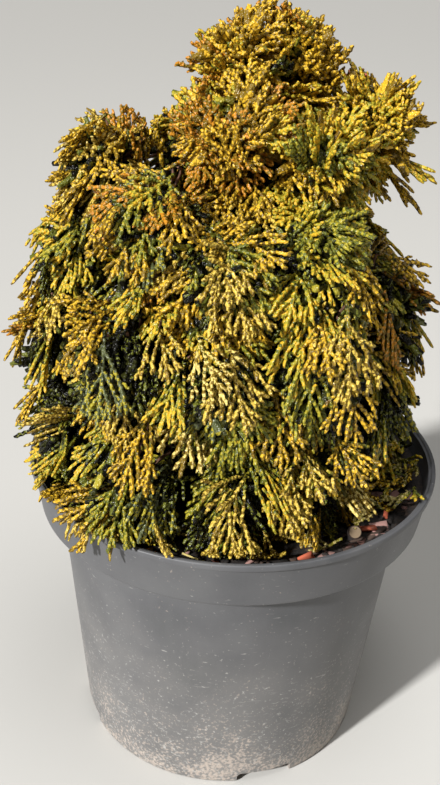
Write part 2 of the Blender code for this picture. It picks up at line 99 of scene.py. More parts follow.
def new_material(name, **sockets):
    """A material whose Principled shader has these values, and its node tree."""
    material = bpy.data.materials.new(name)
    material.use_nodes = True
    add(material.node_tree, "Principled BSDF", **sockets)
    return material, material.node_tree


def link(name, data):
    """Puts an object with this mesh, lamp, camera or curve into the scene."""
    obj = bpy.data.objects.new(name, data)
    bpy.context.scene.collection.objects.link(obj)
    return obj


def make_piece(name, mesh, replaced=()):
    """Puts a finished mesh into the scene as a piece of the one rigid body."""
    obj = link(name, mesh)
    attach(obj, "root")
    if replaced:
        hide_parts(*replaced)
    print(f"{name}: {sum(len(polygon.vertices) - 2 for polygon in mesh.polygons)} triangles")


def to_mesh(bm, name, materials=(), smooth=False):
    for face in bm.faces:
        face.smooth = smooth
    mesh = bpy.data.meshes.new(name)
    bm.to_mesh(mesh)
    bm.free()
    for material in materials:
        mesh.materials.append(material)
    return mesh


# %% [markdown]
# ## Camera
#
# The eye stands about two thirds of a metre from the rim, some thirty degrees above it, and is
# tipped by a few degrees, as a hand-held camera is. The lens is worked out for a frame of 440 by
# 785 pixels, whose long side is the sensor's 36 mm.

# %% The camera
FRAME_HEIGHT_PX, FOCAL_PX, SENSOR_MM = 785, 1000, 36
CAMERA_PLACE = Vector((0, -578.2, 534.7)) * MM
CAMERA_TURN = math.radians(1.05)        # to the left of straight ahead
CAMERA_DIP, CAMERA_ROLL = math.radians(26.79), math.radians(2.80)

camera_data = bpy.data.cameras.new("camera")
camera_data.sensor_width = SENSOR_MM
camera_data.lens = FOCAL_PX * SENSOR_MM / FRAME_HEIGHT_PX
camera_data.clip_start = 10 * MM
camera = link("camera", camera_data)
camera.matrix_world = (
    Matrix.Translation(CAMERA_PLACE)
    @ Matrix.Rotation(CAMERA_TURN, 4, "Z")
    @ Matrix.Rotation(math.pi / 2 - CAMERA_DIP, 4, "X")
    @ Matrix.Rotation(CAMERA_ROLL, 4, "Z")
)
bpy.context.scene.camera = camera
print(f"camera: lens {camera_data.lens:.1f} mm at {tuple(round(c, 3) for c in CAMERA_PLACE)}")


# %% [markdown]
# ## Studio
#
# A plain pale floor, an even surround and one key lamp from the left front. The key gives the
# sprays their lit tops and the dark gaps between them, so it is much stronger than the rest. It is
# a lamp at a great distance, four degrees across, so that the floor is lit evenly and shadows have
# soft edges, and it is low enough to reach under the crown. A large soft fill overhead stands for
# the sky.

# %% Floor and lights
FLOOR_SIZE = 16.0
KEY_PLACE, KEY_ANGLE, KEY_STRENGTH = Vector((-4.25, -4.75, 4.1)), math.radians(4), 6.0
FILL_PLACE, FILL_SIZE, FILL_WATTS = Vector((0.3, -0.4, 2.6)), 1.6, 32
SURROUND_STRENGTH = 0.06
LIT_POINT = Vector((0, 0, 0.3))

floor_bm = bmesh.new()
bmesh.ops.create_grid(floor_bm, x_segments=1, y_segments=1, size=FLOOR_SIZE / 2)
floor_material, _ = new_material("matt_white_floor", Roughness=0.9, Base_Color="#c2c0bb")
studio_floor = link("floor", to_mesh(floor_bm, "floor", [floor_material]))


def add_light(name, kind, place, strength, **settings):
    """A lamp that looks at the middle of the plant."""
    light = bpy.data.lights.new(name, kind)
    light.energy = strength
    for setting, value in settings.items():
        setattr(light, setting, value)
    turn = (LIT_POINT - place).to_track_quat("-Z", "Y").to_matrix().to_4x4()
    link(name, light).matrix_world = Matrix.Translation(place) @ turn


add_light("key", "SUN", KEY_PLACE, KEY_STRENGTH, angle=KEY_ANGLE)
add_light("fill", "AREA", FILL_PLACE, FILL_WATTS, shape="DISK", size=FILL_SIZE)
surround = bpy.data.worlds.new("surround")
surround.use_nodes = True
add(surround.node_tree, "Background", Color="#f6f4ee", Strength=SURROUND_STRENGTH)
bpy.context.scene.world = surround
bpy.context.scene.view_settings.view_transform = "Standard"


# %% [markdown]
# ## The pot
#
# A 7.5 litre nursery pot is injection moulded: one thin wall, a deep collar that lets pots stack,
# a rolled lip, and notches in the foot that let water out. A turned shape is one profile spun
# about its axis. The profile is drawn as a few corners, and each corner is rounded by an arc,
# since no moulding has a sharp edge. The notches are then cut out with a Boolean.

# %% The pot's profile
POT_HEIGHT, POT_STEPS = 204 * MM, 160
LIP_RADIUS, LIP_HEIGHT = 133 * MM, 4 * MM
COLLAR_RADIUS, COLLAR_FOOT_RADIUS, COLLAR_HEIGHT = 131 * MM, 126.5 * MM, 33 * MM
SHOULDER_RADIUS, FOOT_RADIUS, FOOT_WIDTH = 114 * MM, 97.5 * MM, 7 * MM
WALL, FLOOR_HEIGHT = 2 * MM, 10 * MM
PAD_RADIUS, PAD_SLOPE = 58 * MM, 4 * MM
NOTCH_COUNT, NOTCH_TURN = 4, math.radians(20)
NOTCH_WIDTH, NOTCH_HEIGHT, NOTCH_DEPTH = 38 * MM, 8 * MM, 30 * MM
SOIL_LEVEL, SOIL_RISE = 189 * MM, 4 * MM
SHOULDER = POT_HEIGHT - COLLAR_HEIGHT


def body_radius(height):
    return FOOT_RADIUS + (SHOULDER_RADIUS - FOOT_RADIUS) * height / SHOULDER


def round_corners(corners, steps=4):
    """Replaces each (radius, height, rounding in mm) corner by an arc between its two sides."""
    rounded = []
    for number, (radius, height, rounding) in enumerate(corners):
        here = Vector((radius, height))
        if not rounding:
            rounded.append(here)
            continue
        before = Vector(corners[number - 1][:2]) - here
        after = Vector(corners[number + 1][:2]) - here
        reach = min(rounding * MM, 0.45 * before.length, 0.45 * after.length)
        start, end = here + before.normalized() * reach, here + after.normalized() * reach
        for step in range(steps + 1):
            share = step / steps
            rounded.append(start.lerp(here, share).lerp(here.lerp(end, share), share))
    return rounded


def pot_corners():
    """From the middle of the floor's upper side, up the inside, over the lip and down."""
    inner = COLLAR_RADIUS - WALL
    return [
        (0, WALL, 0),
        (PAD_RADIUS - PAD_SLOPE, WALL, 2),
        (PAD_RADIUS + PAD_SLOPE, FLOOR_HEIGHT + WALL, 2),
        (body_radius(FLOOR_HEIGHT + WALL) - WALL, FLOOR_HEIGHT + WALL, 3),
        (body_radius(SHOULDER) - WALL, SHOULDER + WALL, 1.5),
        (COLLAR_FOOT_RADIUS - WALL, SHOULDER + 2 * WALL, 2),
        (inner - 0.6 * MM, POT_HEIGHT - 3.2 * MM, 1),
        (inner - 0.6 * MM, POT_HEIGHT - 1.2 * MM, 0.6),
        (inner + 1.0 * MM, POT_HEIGHT - 1.2 * MM, 0.5),
        (inner + 1.6 * MM, POT_HEIGHT, 0.7),
        (LIP_RADIUS, POT_HEIGHT, 1.1),
        (LIP_RADIUS, POT_HEIGHT - LIP_HEIGHT, 0.7),
        (COLLAR_RADIUS, POT_HEIGHT - LIP_HEIGHT - 0.3 * MM, 0.5),
        (COLLAR_FOOT_RADIUS, SHOULDER, 2.2),
        (body_radius(SHOULDER), SHOULDER + 0.4 * MM, 1.2),
        (FOOT_RADIUS + 0.2 * MM, 2 * MM, 1.5),
        (FOOT_RADIUS - 1 * MM, 0, 0.8),
        (FOOT_RADIUS - FOOT_WIDTH, 0, 0.8),
        (FOOT_RADIUS - FOOT_WIDTH, FLOOR_HEIGHT, 1),
        (PAD_RADIUS + PAD_SLOPE, FLOOR_HEIGHT, 1),
        (PAD_RADIUS, 0, 1),
        (0, 0, 0),
    ]


def spin_profile(points, steps):
    """A closed solid turned about +Z from (radius, height) points that start and end on it."""
    bm = bmesh.new()
    verts = [bm.verts.new((radius, 0, height)) for radius, height in points]
    edges = [bm.edges.new(pair) for pair in zip(verts, verts[1:])]
    bmesh.ops.spin(bm, geom=verts + edges, cent=(0, 0, 0), axis=(0, 0, 1), dvec=(0, 0, 0),
                   angle=math.tau, steps=steps, use_merge=True)
    bmesh.ops.remove_doubles(bm, verts=bm.verts, dist=WELD)
    bmesh.ops.recalc_face_normals(bm, faces=bm.faces)
    return bm


pot_bm = spin_profile(round_corners(pot_corners()), POT_STEPS)
print("pot profile:", len(pot_bm.verts), "vertices")


# %% [markdown]
# The plastic is recycled polypropylene with carbon black: a dull mid grey, never pure black. A
# pot that has stood outdoors is scuffed. Pale specks and short scratches lie over it, most of them
# low down, a film of dust greys its lower half, and rain has splashed tan soil on its foot. Each
# of these is a pattern at its own real size, laid over the plain grey in turn.

# %% Weathered pot plastic
POT_GREY, POT_GREY_PALE, POT_GREY_DEEP = "#555557", "#5e5e5f", "#4b4c4e"
DUST_FILM, SPLASH_TAN, SPECK_PALE = "#95918b", "#bcada0", "#c4c1bb"
SUM, PRODUCT = {"operation": "ADD"}, {"operation": "MULTIPLY"}


def weathered_plastic():
    material, tree = new_material("moulded_polypropylene_weathered")
    place = add(tree, "TexCoord", out="Object")
    height = add(tree, "SeparateXYZ", out="Z", Vector=place)

    def flecks(size, detail, stops, crowding=0.0, at=place):
        """The share of the wall that flecks of so many mm take: a noise that a ramp cuts off."""
        grain = add(tree, "TexNoise", Vector=at, Scale=1 / (size * MM), Detail=detail)
        grain = add(tree, "Math", SUM, _0=grain, _1=crowding)
        return add(tree, "ValToRGB", {"stops": stops}, Fac=grain)

    mottle = add(tree, "TexNoise", Vector=place, Scale=1 / (45 * MM), Detail=4)
    greys = [(0.3, POT_GREY_DEEP), (0.5, POT_GREY), (0.7, POT_GREY_PALE)]
    colour = add(tree, "ValToRGB", {"stops": greys}, Fac=mottle)
    # Faint runs down the wall, some 6 mm wide and 60 mm long
    drawn_out = add(tree, "Mapping", Vector=place, Scale=(10, 10, 1))
    layers = [(flecks(60, 2, [(0.45, 0.0), (0.8, 0.3)], at=drawn_out), POT_GREY_PALE)]
    # A film of dust, gone at three quarters of the height and uneven over a few centimetres
    film = add(tree, "MapRange", Value=height, From_Max=150 * MM, To_Min=0.85, To_Max=0)
    cloud = add(tree, "TexNoise", Vector=place, Scale=1 / (30 * MM), Detail=3)
    layers.append((add(tree, "Math", PRODUCT, _0=film, _1=cloud), DUST_FILM))
    # Specks about a millimetre across, which crowd towards the foot
    crowding = add(tree, "MapRange", Value=height, From_Max=170 * MM, To_Min=0.13, To_Max=-0.01)
    layers.append((flecks(2.2, 2, [(0.70, 0.0), (0.84, 0.55)], crowding), SPECK_PALE))
    # Scratches: the thin level lines of a drawn-out noise, cut to a few millimetres by a second
    for turn, shift in (((0.5, 0.4, 0.3), (0, 0, 0)), ((-0.7, 0.9, 1.2), (0.3, 0, 0))):
        slanted = add(tree, "Mapping", Vector=place, Rotation=turn, Scale=(1, 1, 4),
                      Location=shift)
        lines = flecks(11, 1, [(0.47, 0.0), (0.5, 1.0), (0.53, 0.0)], at=slanted)
        patches = flecks(8, 1, [(0.70, 0.0), (0.78, 0.5)], crowding, slanted)
        layers.append((add(tree, "Math", PRODUCT, _0=lines, _1=patches), SPECK_PALE))
    # Soil splashes: fine flecks in clusters at the foot, gone some 60 mm above it
    wet = add(tree, "MapRange", Value=height, From_Max=100 * MM, To_Min=0.17, To_Max=-0.12)
    clusters = add(tree, "TexNoise", Vector=place, Scale=1 / (30 * MM), Detail=2)
    clusters = add(tree, "MapRange", Value=clusters, From_Min=0.3, From_Max=0.7, To_Min=-0.09,
                   To_Max=0.09)
    wet = add(tree, "Math", SUM, _0=wet, _1=clusters)
    layers.append((flecks(2.0, 2, [(0.6, 0.0), (0.8, 0.72)], wet), SPLASH_TAN))
    for share, tint in layers:
        colour = add(tree, "Mix", {"data_type": "RGBA"}, out=2, _0=share, _6=colour, _7=tint)
    dull = add(tree, "ValToRGB", {"stops": [(0.3, 0.42), (0.7, 0.6)]}, Fac=mottle)
    orange_peel = add(tree, "TexNoise", Vector=place, Scale=1 / (1.6 * MM), Detail=3)
    bump = add(tree, "Bump", Strength=0.25, Distance=0.3 * MM, Height=orange_peel)
    add(tree, "Principled BSDF", Base_Color=colour, Roughness=dull, Normal=bump)
    return material


# %% [markdown]
# The notches are four blocks at the foot, which Boolean modifiers take out of the shell. Their
# upper corners are bevelled first, so that each notch has the rounded shoulders of a moulded one.

# %% The foot notches
def notch_cutter(angle):
    bm = bmesh.new()
    bmesh.ops.create_cube(bm, size=1)
    bmesh.ops.scale(bm, verts=bm.verts, vec=(NOTCH_WIDTH, NOTCH_DEPTH, 2 * NOTCH_HEIGHT))
    upper = [edge for edge in bm.edges if all(vert.co.z > 0 for vert in edge.verts)
             and abs(edge.verts[0].co.x - edge.verts[1].co.x) < MM]
    bmesh.ops.bevel(bm, geom=upper, offset=3 * MM, segments=4, profile=0.5, affect="EDGES",
                    material=-1)
    bmesh.ops.translate(bm, verts=bm.verts, vec=(0, -FOOT_RADIUS, 0))
    bmesh.ops.rotate(bm, verts=bm.verts, matrix=Matrix.Rotation(angle, 3, "Z"))
    return to_mesh(bm, "notch")


def baked_mesh(obj):
    """The object's evaluated mesh, as a plain mesh. The object itself goes."""
    graph = bpy.context.evaluated_depsgraph_get()
    mesh = bpy.data.meshes.new_from_object(obj.evaluated_get(graph))
    bpy.data.objects.remove(obj)
    return mesh


shell = link("shell", to_mesh(pot_bm, "pot_shell", [weathered_plastic()], smooth=True))
notches = [link("notch", notch_cutter(NOTCH_TURN + n * math.tau / NOTCH_COUNT))
           for n in range(NOTCH_COUNT)]
for notch in notches:
    modifier = shell.modifiers.new("notch", "BOOLEAN")
    modifier.operation, modifier.solver, modifier.object = "DIFFERENCE", "EXACT", notch
pot_mesh = baked_mesh(shell)
for notch in notches:
    bpy.data.objects.remove(notch)
pot_mesh.set_sharp_from_angle(angle=math.radians(40))
make_piece("pot_shell", pot_mesh, ["pot"])


# %% [markdown]
# ## The soil
#
# The pot is filled with composted bark. From above it is a dark crumb with chips of bark, some of
# them red-brown, and dry twigs lying on it. The bed is a spun solid whose upper side is lifted by
# noise. Its chips are one small jittered block, copied into a single joined mesh, because a few
# hundred separate objects would be slow and the finished part keeps joined meshes only.

# %% The soil bed
SOIL_STEPS, SOIL_RINGS, CRUMB = 112, 40, 2.2 * MM
CRUMB_SIZES, CRUMB_SHARES = (17 * MM, 4 * MM), (0.8, 0.6)       # coarse and fine
MOUND_RADIUS, MOUND_SLOPE = 72 * MM, 0.6


def soil_height(radius):
    """The level of the soil: a little higher round the trunk."""
    return SOIL_LEVEL + SOIL_RISE * (1 - MOUND_SLOPE * min(1, radius / MOUND_RADIUS))


def soil_relief(x, y):
    """How far the crumb stands above the level at a place."""
    coarse = noise.noise(Vector((x, y, 0)) / CRUMB_SIZES[0])
    fine = noise.noise(Vector((x, y, 3)) / CRUMB_SIZES[1])
    return CRUMB * (CRUMB_SHARES[0] * coarse + CRUMB_SHARES[1] * fine)


def grained_material(name, roughness, size, tints, relief, stretch=(1, 1, 1), coarseness=0.5):
    """A dull material: one noise, of that size and drawn out, gives its tints and its relief."""
    material, tree = new_material(name, Roughness=roughness)
    place = add(tree, "Mapping", Vector=add(tree, "TexCoord", out="Object"), Scale=stretch)
    grain = add(tree, "TexNoise", Vector=place, Scale=1 / size, Detail=4, Roughness=coarseness)
    colour = add(tree, "ValToRGB", {"stops": tints}, Fac=grain)
    bump = add(tree, "Bump", Strength=relief[0], Distance=relief[1], Height=grain)
    add(tree, "Principled BSDF", Base_Color=colour, Normal=bump)
    return material


collar_foot = SHOULDER + 2 * WALL
soil_share = (SOIL_LEVEL - collar_foot) / (POT_HEIGHT - LIP_HEIGHT - collar_foot)
soil_edge = (COLLAR_FOOT_RADIUS + (COLLAR_RADIUS - COLLAR_FOOT_RADIUS) * soil_share - WALL
             - 0.5 * MM)
soil_radii = [soil_edge * n / SOIL_RINGS for n in range(SOIL_RINGS + 1)]
soil_profile = [(radius, soil_height(radius)) for radius in soil_radii]
soil_profile += [(COLLAR_FOOT_RADIUS - WALL - 0.5 * MM, SHOULDER + 3 * WALL),
                 (body_radius(SHOULDER) - 2 * WALL, SHOULDER),
                 (body_radius(FLOOR_HEIGHT) - 2 * WALL, FLOOR_HEIGHT + 2 * WALL),
                 (0, FLOOR_HEIGHT + 2 * WALL)]
soil_bm = spin_profile(soil_profile, SOIL_STEPS)
for vert in soil_bm.verts:
    if vert.co.z > SOIL_LEVEL - MM and vert.co.xy.length < soil_edge - MM:
        vert.co.z += soil_relief(vert.co.x, vert.co.y)
# Damp composted bark: nearly black crumbs with brown ones among them, and no shine
compost = grained_material("composted_bark", 0.95, 3.5 * MM, [
    (0.38, "#0f0c0a"), (0.55, "#221a15"), (0.72, "#4a3a2e")], (0.8, 1.2 * MM), coarseness=0.7)
make_piece("soil_bed", to_mesh(soil_bm, "soil_bed", [compost], smooth=True),
           ["soil"])


# %% [markdown]
# Things that are repeated by the hundred are gathered as arrays and joined at once. Every small
# solid here is made of four-sided faces, so one class can hold them all: it keeps corners, faces
# and each face's tint, and hands back a single mesh.

# %% A gatherer of small solids
class Gatherer:
    def __init__(self):
        self.corners, self.faces, self.tints, self.count = [], [], [], 0

    def add(self, corners, faces, tints):
        """corners is (n, 3), faces is (m, 4) into it, and tints is one number or m of them."""
        self.corners.append(corners)
        self.faces.append(faces + self.count)
        self.tints.append(np.broadcast_to(tints, len(faces)))
        self.count += len(corners)

    def mesh(self, name, materials):
        corners, faces = np.concatenate(self.corners), np.concatenate(self.faces)
        mesh = bpy.data.meshes.new(name)
        mesh.vertices.add(len(corners))
        mesh.vertices.foreach_set("co", corners.astype(np.float32).ravel())
        mesh.loops.add(faces.size)
        mesh.loops.foreach_set("vertex_index", faces.astype(np.int32).ravel())
        mesh.polygons.add(len(faces))
        mesh.polygons.foreach_set("loop_start", np.arange(0, faces.size, 4, dtype=np.int32))
        for material in materials:
            mesh.materials.append(material)
        tints = np.concatenate(self.tints).astype(np.int32)
        mesh.polygons.foreach_set("material_index", tints)
        mesh.update(calc_edges=True)
        mesh.validate()
        return mesh


def tube_faces(rings):
    """The faces of a closed four-sided tube with that many rings of corners."""
    ring, side = np.meshgrid(np.arange(rings - 1), np.arange(4), indexing="ij")
    near, after = 4 * ring + side, 4 * ring + (side + 1) % 4
    walls = np.stack([near, after, after + 4, near + 4], axis=-1).reshape(-1, 4)
    last = 4 * (rings - 1)
    return np.concatenate([walls, [[3, 2, 1, 0], [last, last + 1, last + 2, last + 3]]])


def unit_rows(rows):
    return rows / np.linalg.norm(rows, axis=1, keepdims=True)


def tube_corners(path, face, wide, thick, roll=None, sway=0.0):
    """Rings of four corners round a path. face is the direction that its flat side looks to.

    sway moves every second ring to one side and the others to the other.
    """
    ahead = unit_rows(np.gradient(path, axis=0))
    across = unit_rows(np.cross(face, ahead))
    above = np.cross(ahead, across)
    if roll is not None:
        turn, lean = np.cos(roll)[:, None], np.sin(roll)[:, None]
        across, above = across * turn + above * lean, above * turn - across * lean
    wide, thick = across * wide[:, None], above * thick[:, None]
    path = path + across * (sway * (-1) ** np.arange(len(path)))[:, None]
    return np.stack([path + wide, path + thick, path - wide, path - thick], 1).reshape(-1, 3)


print("a 12-ring tube has", len(tube_faces(12)), "faces")


# %% [markdown]
# Chips of bark are flat jittered blocks, and the dry twigs are thin bent tubes. They lie on the
# soil and sink in a little. A few larger ones lie to the right, where the crown stands back from
# the rim, and with them one short piece of a pruned twig, its round cut face to the front.

# %% Bark chips and dry twigs
CHIP_COUNT, CHIP_LENGTHS, CHIP_THICKNESS = 900, (3 * MM, 17 * MM), 1.6 * MM
CHIP_WIDTHS, CHIP_TILT, CHIP_SHARES = (0.3, 0.7), 0.3, (8, 4, 2, 2, 1)
CHIP_JITTER, LOOSE_JITTER = (0.6, 1.15), (0.75, 1.1)
LITTER_COUNT, LITTER_LENGTHS, LITTER_RADIUS = 150, (9 * MM, 30 * MM), 0.75 * MM
LITTER_RINGS, LITTER_BEND, LITTER_SLOPE = 7, 0.5, 0.08
LITTER_STOUTNESS, LITTER_TAPER, LITTER_SHARES = (0.7, 1.5), (1, 0.6), (3, 3, 1)
CHIP_COLOURS = ["#1d1713", "#3a2b22", "#6b4c44", "#8c6a62", "#b0583c"]
LITTER_COLOURS = ["#b9a765", "#8f8048", "#9a6a48"]
# Larger loose pieces near the rim: x and y in mm, turn in degrees, length and width, colour
LOOSE_PIECES = [(82, -73, 15, 14, 3.2, 4), (97, -52, 80, 17, 2.6, 4), (108, -14, 65, 17, 9, 3),
                (103, -37, 40, 14, 8, 2), (-38, -84, -40, 12, 3.6, 4), (60, -52, -30, 10, 3, 4),
                (111, 12, 80, 13, 7, 3), (92, -34, -20, 12, 6, 2)]
LOOSE_TILT, LOOSE_LIFT = math.radians(18), 2.5 * MM
CUT_PLACE, CUT_TURN = Vector((75, -80, 195)) * MM, Matrix.Rotation(math.radians(55), 4, "X")
CUT_RADIUS, CUT_LENGTH, CUT_SIDES, CUT_EDGE = 4.0 * MM, 8 * MM, 16, 0.5 * MM
BLOCK = np.array([[x, y, z] for z in (-1, 1) for y in (-1, 1) for x in (-1, 1)], float)
BLOCK_FACES = np.array([[0, 2, 3, 1], [4, 5, 7, 6], [0, 1, 5, 4], [2, 6, 7, 3], [0, 4, 6, 2],
                        [1, 3, 7, 5]])


def random_spot(rng, edge):
    """A place on the soil, even over its area."""
    radius = edge * math.sqrt(rng.random())
    angle = rng.uniform(0, math.tau)
    x, y = radius * math.cos(angle), radius * math.sin(angle)
    return np.array([x, y, soil_height(radius) + soil_relief(x, y)])


def jittered_block(rng, size, low, high):
    return BLOCK * size * np.array([[rng.uniform(low, high) for _ in range(3)] for _ in BLOCK])


def turned(angle, axis):
    return Matrix.Rotation(angle, 3, axis)


def scatter_chips(rng):
    chips = Gatherer()
    for _ in range(CHIP_COUNT):
        length = rng.triangular(*CHIP_LENGTHS, CHIP_LENGTHS[0])
        size = np.array([length, length * rng.uniform(*CHIP_WIDTHS), CHIP_THICKNESS]) / 2
        corners = jittered_block(rng, size, *CHIP_JITTER)
        tilt = turned(rng.gauss(0, CHIP_TILT), "X") @ turned(rng.gauss(0, CHIP_TILT), "Y")
        turn = np.array(turned(rng.uniform(0, math.tau), "Z") @ tilt)
        spot = random_spot(rng, soil_edge - 6 * MM)
        colour = rng.choices(range(len(CHIP_COLOURS)), CHIP_SHARES)[0]
        chips.add(corners @ turn.T + spot, BLOCK_FACES, colour)
    for x, y, turn, length, width, colour in LOOSE_PIECES:
        size = np.array([length, width, 1.2 * CHIP_THICKNESS / MM]) * MM / 2
        corners = jittered_block(rng, size, *LOOSE_JITTER)
        turn = np.array(turned(math.radians(turn), "Z") @ turned(LOOSE_TILT, "X"))
        spot = np.array([x * MM, y * MM, soil_height(math.hypot(x, y) * MM) + LOOSE_LIFT])
        chips.add(corners @ turn.T + spot, BLOCK_FACES, colour)
    return chips


def scatter_litter(rng):
    litter = Gatherer()
    for _ in range(LITTER_COUNT):
        spot = random_spot(rng, soil_edge - 12 * MM)
        length = rng.uniform(*LITTER_LENGTHS)
        angle = rng.uniform(0, math.tau) + np.linspace(0, rng.gauss(0, LITTER_BEND), LITTER_RINGS)
        rise = np.full(LITTER_RINGS, rng.gauss(0, LITTER_SLOPE))
        steps = np.stack([np.cos(angle), np.sin(angle), rise], 1)
        path = spot + np.cumsum(steps, axis=0) * length / LITTER_RINGS
        path[:, 2] = np.maximum(path[:, 2], SOIL_LEVEL + 1 * MM) + rng.uniform(0, 1.5) * MM
        if (np.hypot(path[:, 0], path[:, 1]) >= soil_edge - 3 * MM).any():
            continue
        thick = LITTER_RADIUS * rng.uniform(*LITTER_STOUTNESS)
        thick = thick * np.linspace(*LITTER_TAPER, LITTER_RINGS)
        litter.add(tube_corners(path, np.array(UP), thick, thick), tube_faces(LITTER_RINGS),
                   rng.choices(range(len(LITTER_COLOURS)), LITTER_SHARES)[0])
    return litter


ground_rng = random.Random("ground")
chip_materials = [new_material(f"bark_chip_{n}", Roughness=0.9, Base_Color=colour)[0]
                  for n, colour in enumerate(CHIP_COLOURS)]
litter_materials = [new_material(f"dry_twig_{n}", Roughness=0.8, Base_Color=colour)[0]
                    for n, colour in enumerate(LITTER_COLOURS)]
make_piece("bark_chips", scatter_chips(ground_rng).mesh("bark_chips", chip_materials))

cut_bm = bmesh.new()
bmesh.ops.create_cone(cut_bm, cap_ends=True, segments=CUT_SIDES, radius1=CUT_RADIUS,
                      radius2=CUT_RADIUS, depth=CUT_LENGTH)
bmesh.ops.bevel(cut_bm, geom=cut_bm.edges[:], offset=CUT_EDGE, segments=2, affect="EDGES",
                profile=0.5)
cut_bm.transform(Matrix.Translation(CUT_PLACE) @ CUT_TURN)
for face in cut_bm.faces:
    face.material_index = int(len(face.verts) > 4)      # the two round ends
cut_wood, _ = new_material("cut_cypress_wood", Roughness=0.85, Base_Color="#78664f")
make_piece("cut_twig", to_mesh(cut_bm, "cut_twig", [chip_materials[1], cut_wood]))
make_piece("dry_twigs", scatter_litter(ground_rng).mesh("dry_twigs", litter_materials))


# %% [markdown]
# ## Trunk and boughs
#
# The limbs grow by the same rule as in the construction: the trunk is a slightly bowed line that
# tapers, flares at the soil and ends in the top mass, and every other mass has one bough, which
# leaves the trunk at the natural slope wherever it stays clear of the others. The rule is written
# again here, so that the barked limbs lie exactly where the plain ones do.

# %% The masses of foliage, as in the construction
BACK = "gold 3 lime 4 green 3 orange 1"
# name: centre x, y, z; reach sideways; reach up and down, all in mm; piece; its hues' shares
MASSES = {
    "apex_left": (-6, -8, 452, 32, 28, "gold_top", "orange 3 gold 7 lime 2"),
    "apex_right": (22, 8, 452, 29, 31, "green_top", "gold 6 orange 2 lime 3"),
    "crown_front": (-10, -42, 420, 37, 29, "gold_top", "gold 5 orange 6 lime 1"),
    "crown_right_front": (38, -40, 406, 35, 29, "green_top", "lime 6 green 3 gold 2"),
    "crown_right": (67, 2, 416, 35, 37, "green_top", "lime 5 green 1 gold 4"),
    "crown_left": (-82, 0, 387, 36, 34, "gold_top", "gold 5 cream 1 straw 2 orange 1 lime 2"),
    "crown_back_left": (-34, 44, 388, 38, 34, "green_back", BACK),
    "crown_back_right": (32, 54, 398, 38, 34, "green_top", BACK),
    "shelf_left_front": (-50, -66, 374, 38, 28, "gold_top", "orange 4 gold 6 lime 1"),
    "shelf_front": (-10, -84, 350, 36, 33, "gold_middle", "gold 6 straw 3 cream 1 lime 1"),
    "shelf_right_front": (38, -76, 356, 37, 32, "green_middle", "lime 5 green 4 gold 2"),
    # middle_left's greener hues paint the shade that lies on this side of the crown.
    "middle_left": (-97, -4, 334, 40, 34, "gold_middle", "lime 5 green 3 gold 3"),
    "middle_right": (82, -8, 308, 38, 42, "green_middle", "orange 4 gold 6 lime 1"),
    "middle_back_left": (-62, 62, 328, 44, 38, "green_back", BACK),
    "middle_back": (4, 84, 332, 42, 38, "green_back", BACK),
    "middle_back_right": (62, 56, 328, 41, 38, "green_back", BACK),
    "lower_left": (-105, -12, 270, 42, 42, "gold_middle", "gold 5 orange 3 straw 2 lime 2"),
    "lower_left_front": (-62, -76, 296, 42, 38, "gold_low",
                         "straw 4 cream 1 gold 4 lime 2 blue 1"),
    "lower_front": (-8, -96, 286, 36, 34, "gold_middle", "cream 1 straw 4 gold 2 lime 3 green 2"),
    "lower_right_front": (42, -84, 298, 37, 36, "green_middle", "orange 4 gold 6 straw 1"),
    "lower_right": (81, -18, 252, 42, 40, "green_middle", "green 3 lime 3 straw 3 gold 2 blue 1"),
    "skirt_left": (-97, -46, 228, 40, 30, "gold_low", "gold 3 straw 4 lime 3 green 1 blue 1"),
    "skirt_left_front": (-60, -94, 224, 43, 25, "gold_low",
                         "gold 4 straw 4 cream 2 lime 2 blue 2"),
    "skirt_front": (2, -94, 224, 39, 27, "gold_low",
                    "cream 3 gold 4 straw 6 lime 3 blue 3 fresh 1"),
    "skirt_right_front": (50, -70, 224, 38, 27, "green_low",
                          "gold 3 straw 4 cream 2 lime 2 blue 2"),
    "skirt_back_left": (-74, 56, 248, 44, 40, "green_low", BACK),
    "skirt_back": (2, 84, 248, 42, 40, "green_low", BACK),
    "skirt_back_right": (66, 52, 248, 41, 40, "green_low", BACK),
}
MASS_NAMES = list(MASSES)


def centre_of(name):
    return Vector(MASSES[name][:3]) * MM


def reach_of(name):
    return MASSES[name][3] * MM, MASSES[name][4] * MM


print("masses:", len(MASSES))

# %% The trunk's line
TRUNK_FOOT = Vector((-5 * MM, 4 * MM, 0)) + UP * (SOIL_LEVEL + SOIL_RISE + GAP)
TRUNK_TIP = Vector((-6 * MM, -2 * MM, 424 * MM))
TRUNK_BOW = Vector((5 * MM, 3 * MM, 0))
TRUNK_FOOT_RADIUS, TRUNK_TIP_RADIUS = 9.5 * MM, 2.6 * MM
ROOT_FLARE, FLARE_HEIGHT = 5.5 * MM, 14 * MM
TRUNK_STATIONS, STATION_CROWDING = 8, 1.4
CUT_HEIGHT, CUT_SHARE = 2 * MM, 0.92


def clamp(value, low, high):
    return max(low, min(high, value))


def between(pair, share):
    return pair[0] + (pair[1] - pair[0]) * share


def trunk_point(share):
    return TRUNK_FOOT.lerp(TRUNK_TIP, share) + TRUNK_BOW * math.sin(math.pi * share)


def trunk_share(height):
    return (height - TRUNK_FOOT.z) / (TRUNK_TIP.z - TRUNK_FOOT.z)


def trunk_radius(share):
    flare = ROOT_FLARE * math.exp(-share * (TRUNK_TIP.z - TRUNK_FOOT.z) / FLARE_HEIGHT)
    return between((TRUNK_FOOT_RADIUS, TRUNK_TIP_RADIUS), share) + flare


def trunk_stations():
    steps = [number / (TRUNK_STATIONS - 1) for number in range(TRUNK_STATIONS)]
    shares = [step ** STATION_CROWDING for step in steps]
    stations = [(trunk_point(share), trunk_radius(share)) for share in shares]
    foot, radius = stations[0]
    return [(foot, radius), (foot + UP * CUT_HEIGHT, radius * CUT_SHARE)] + stations[1:]


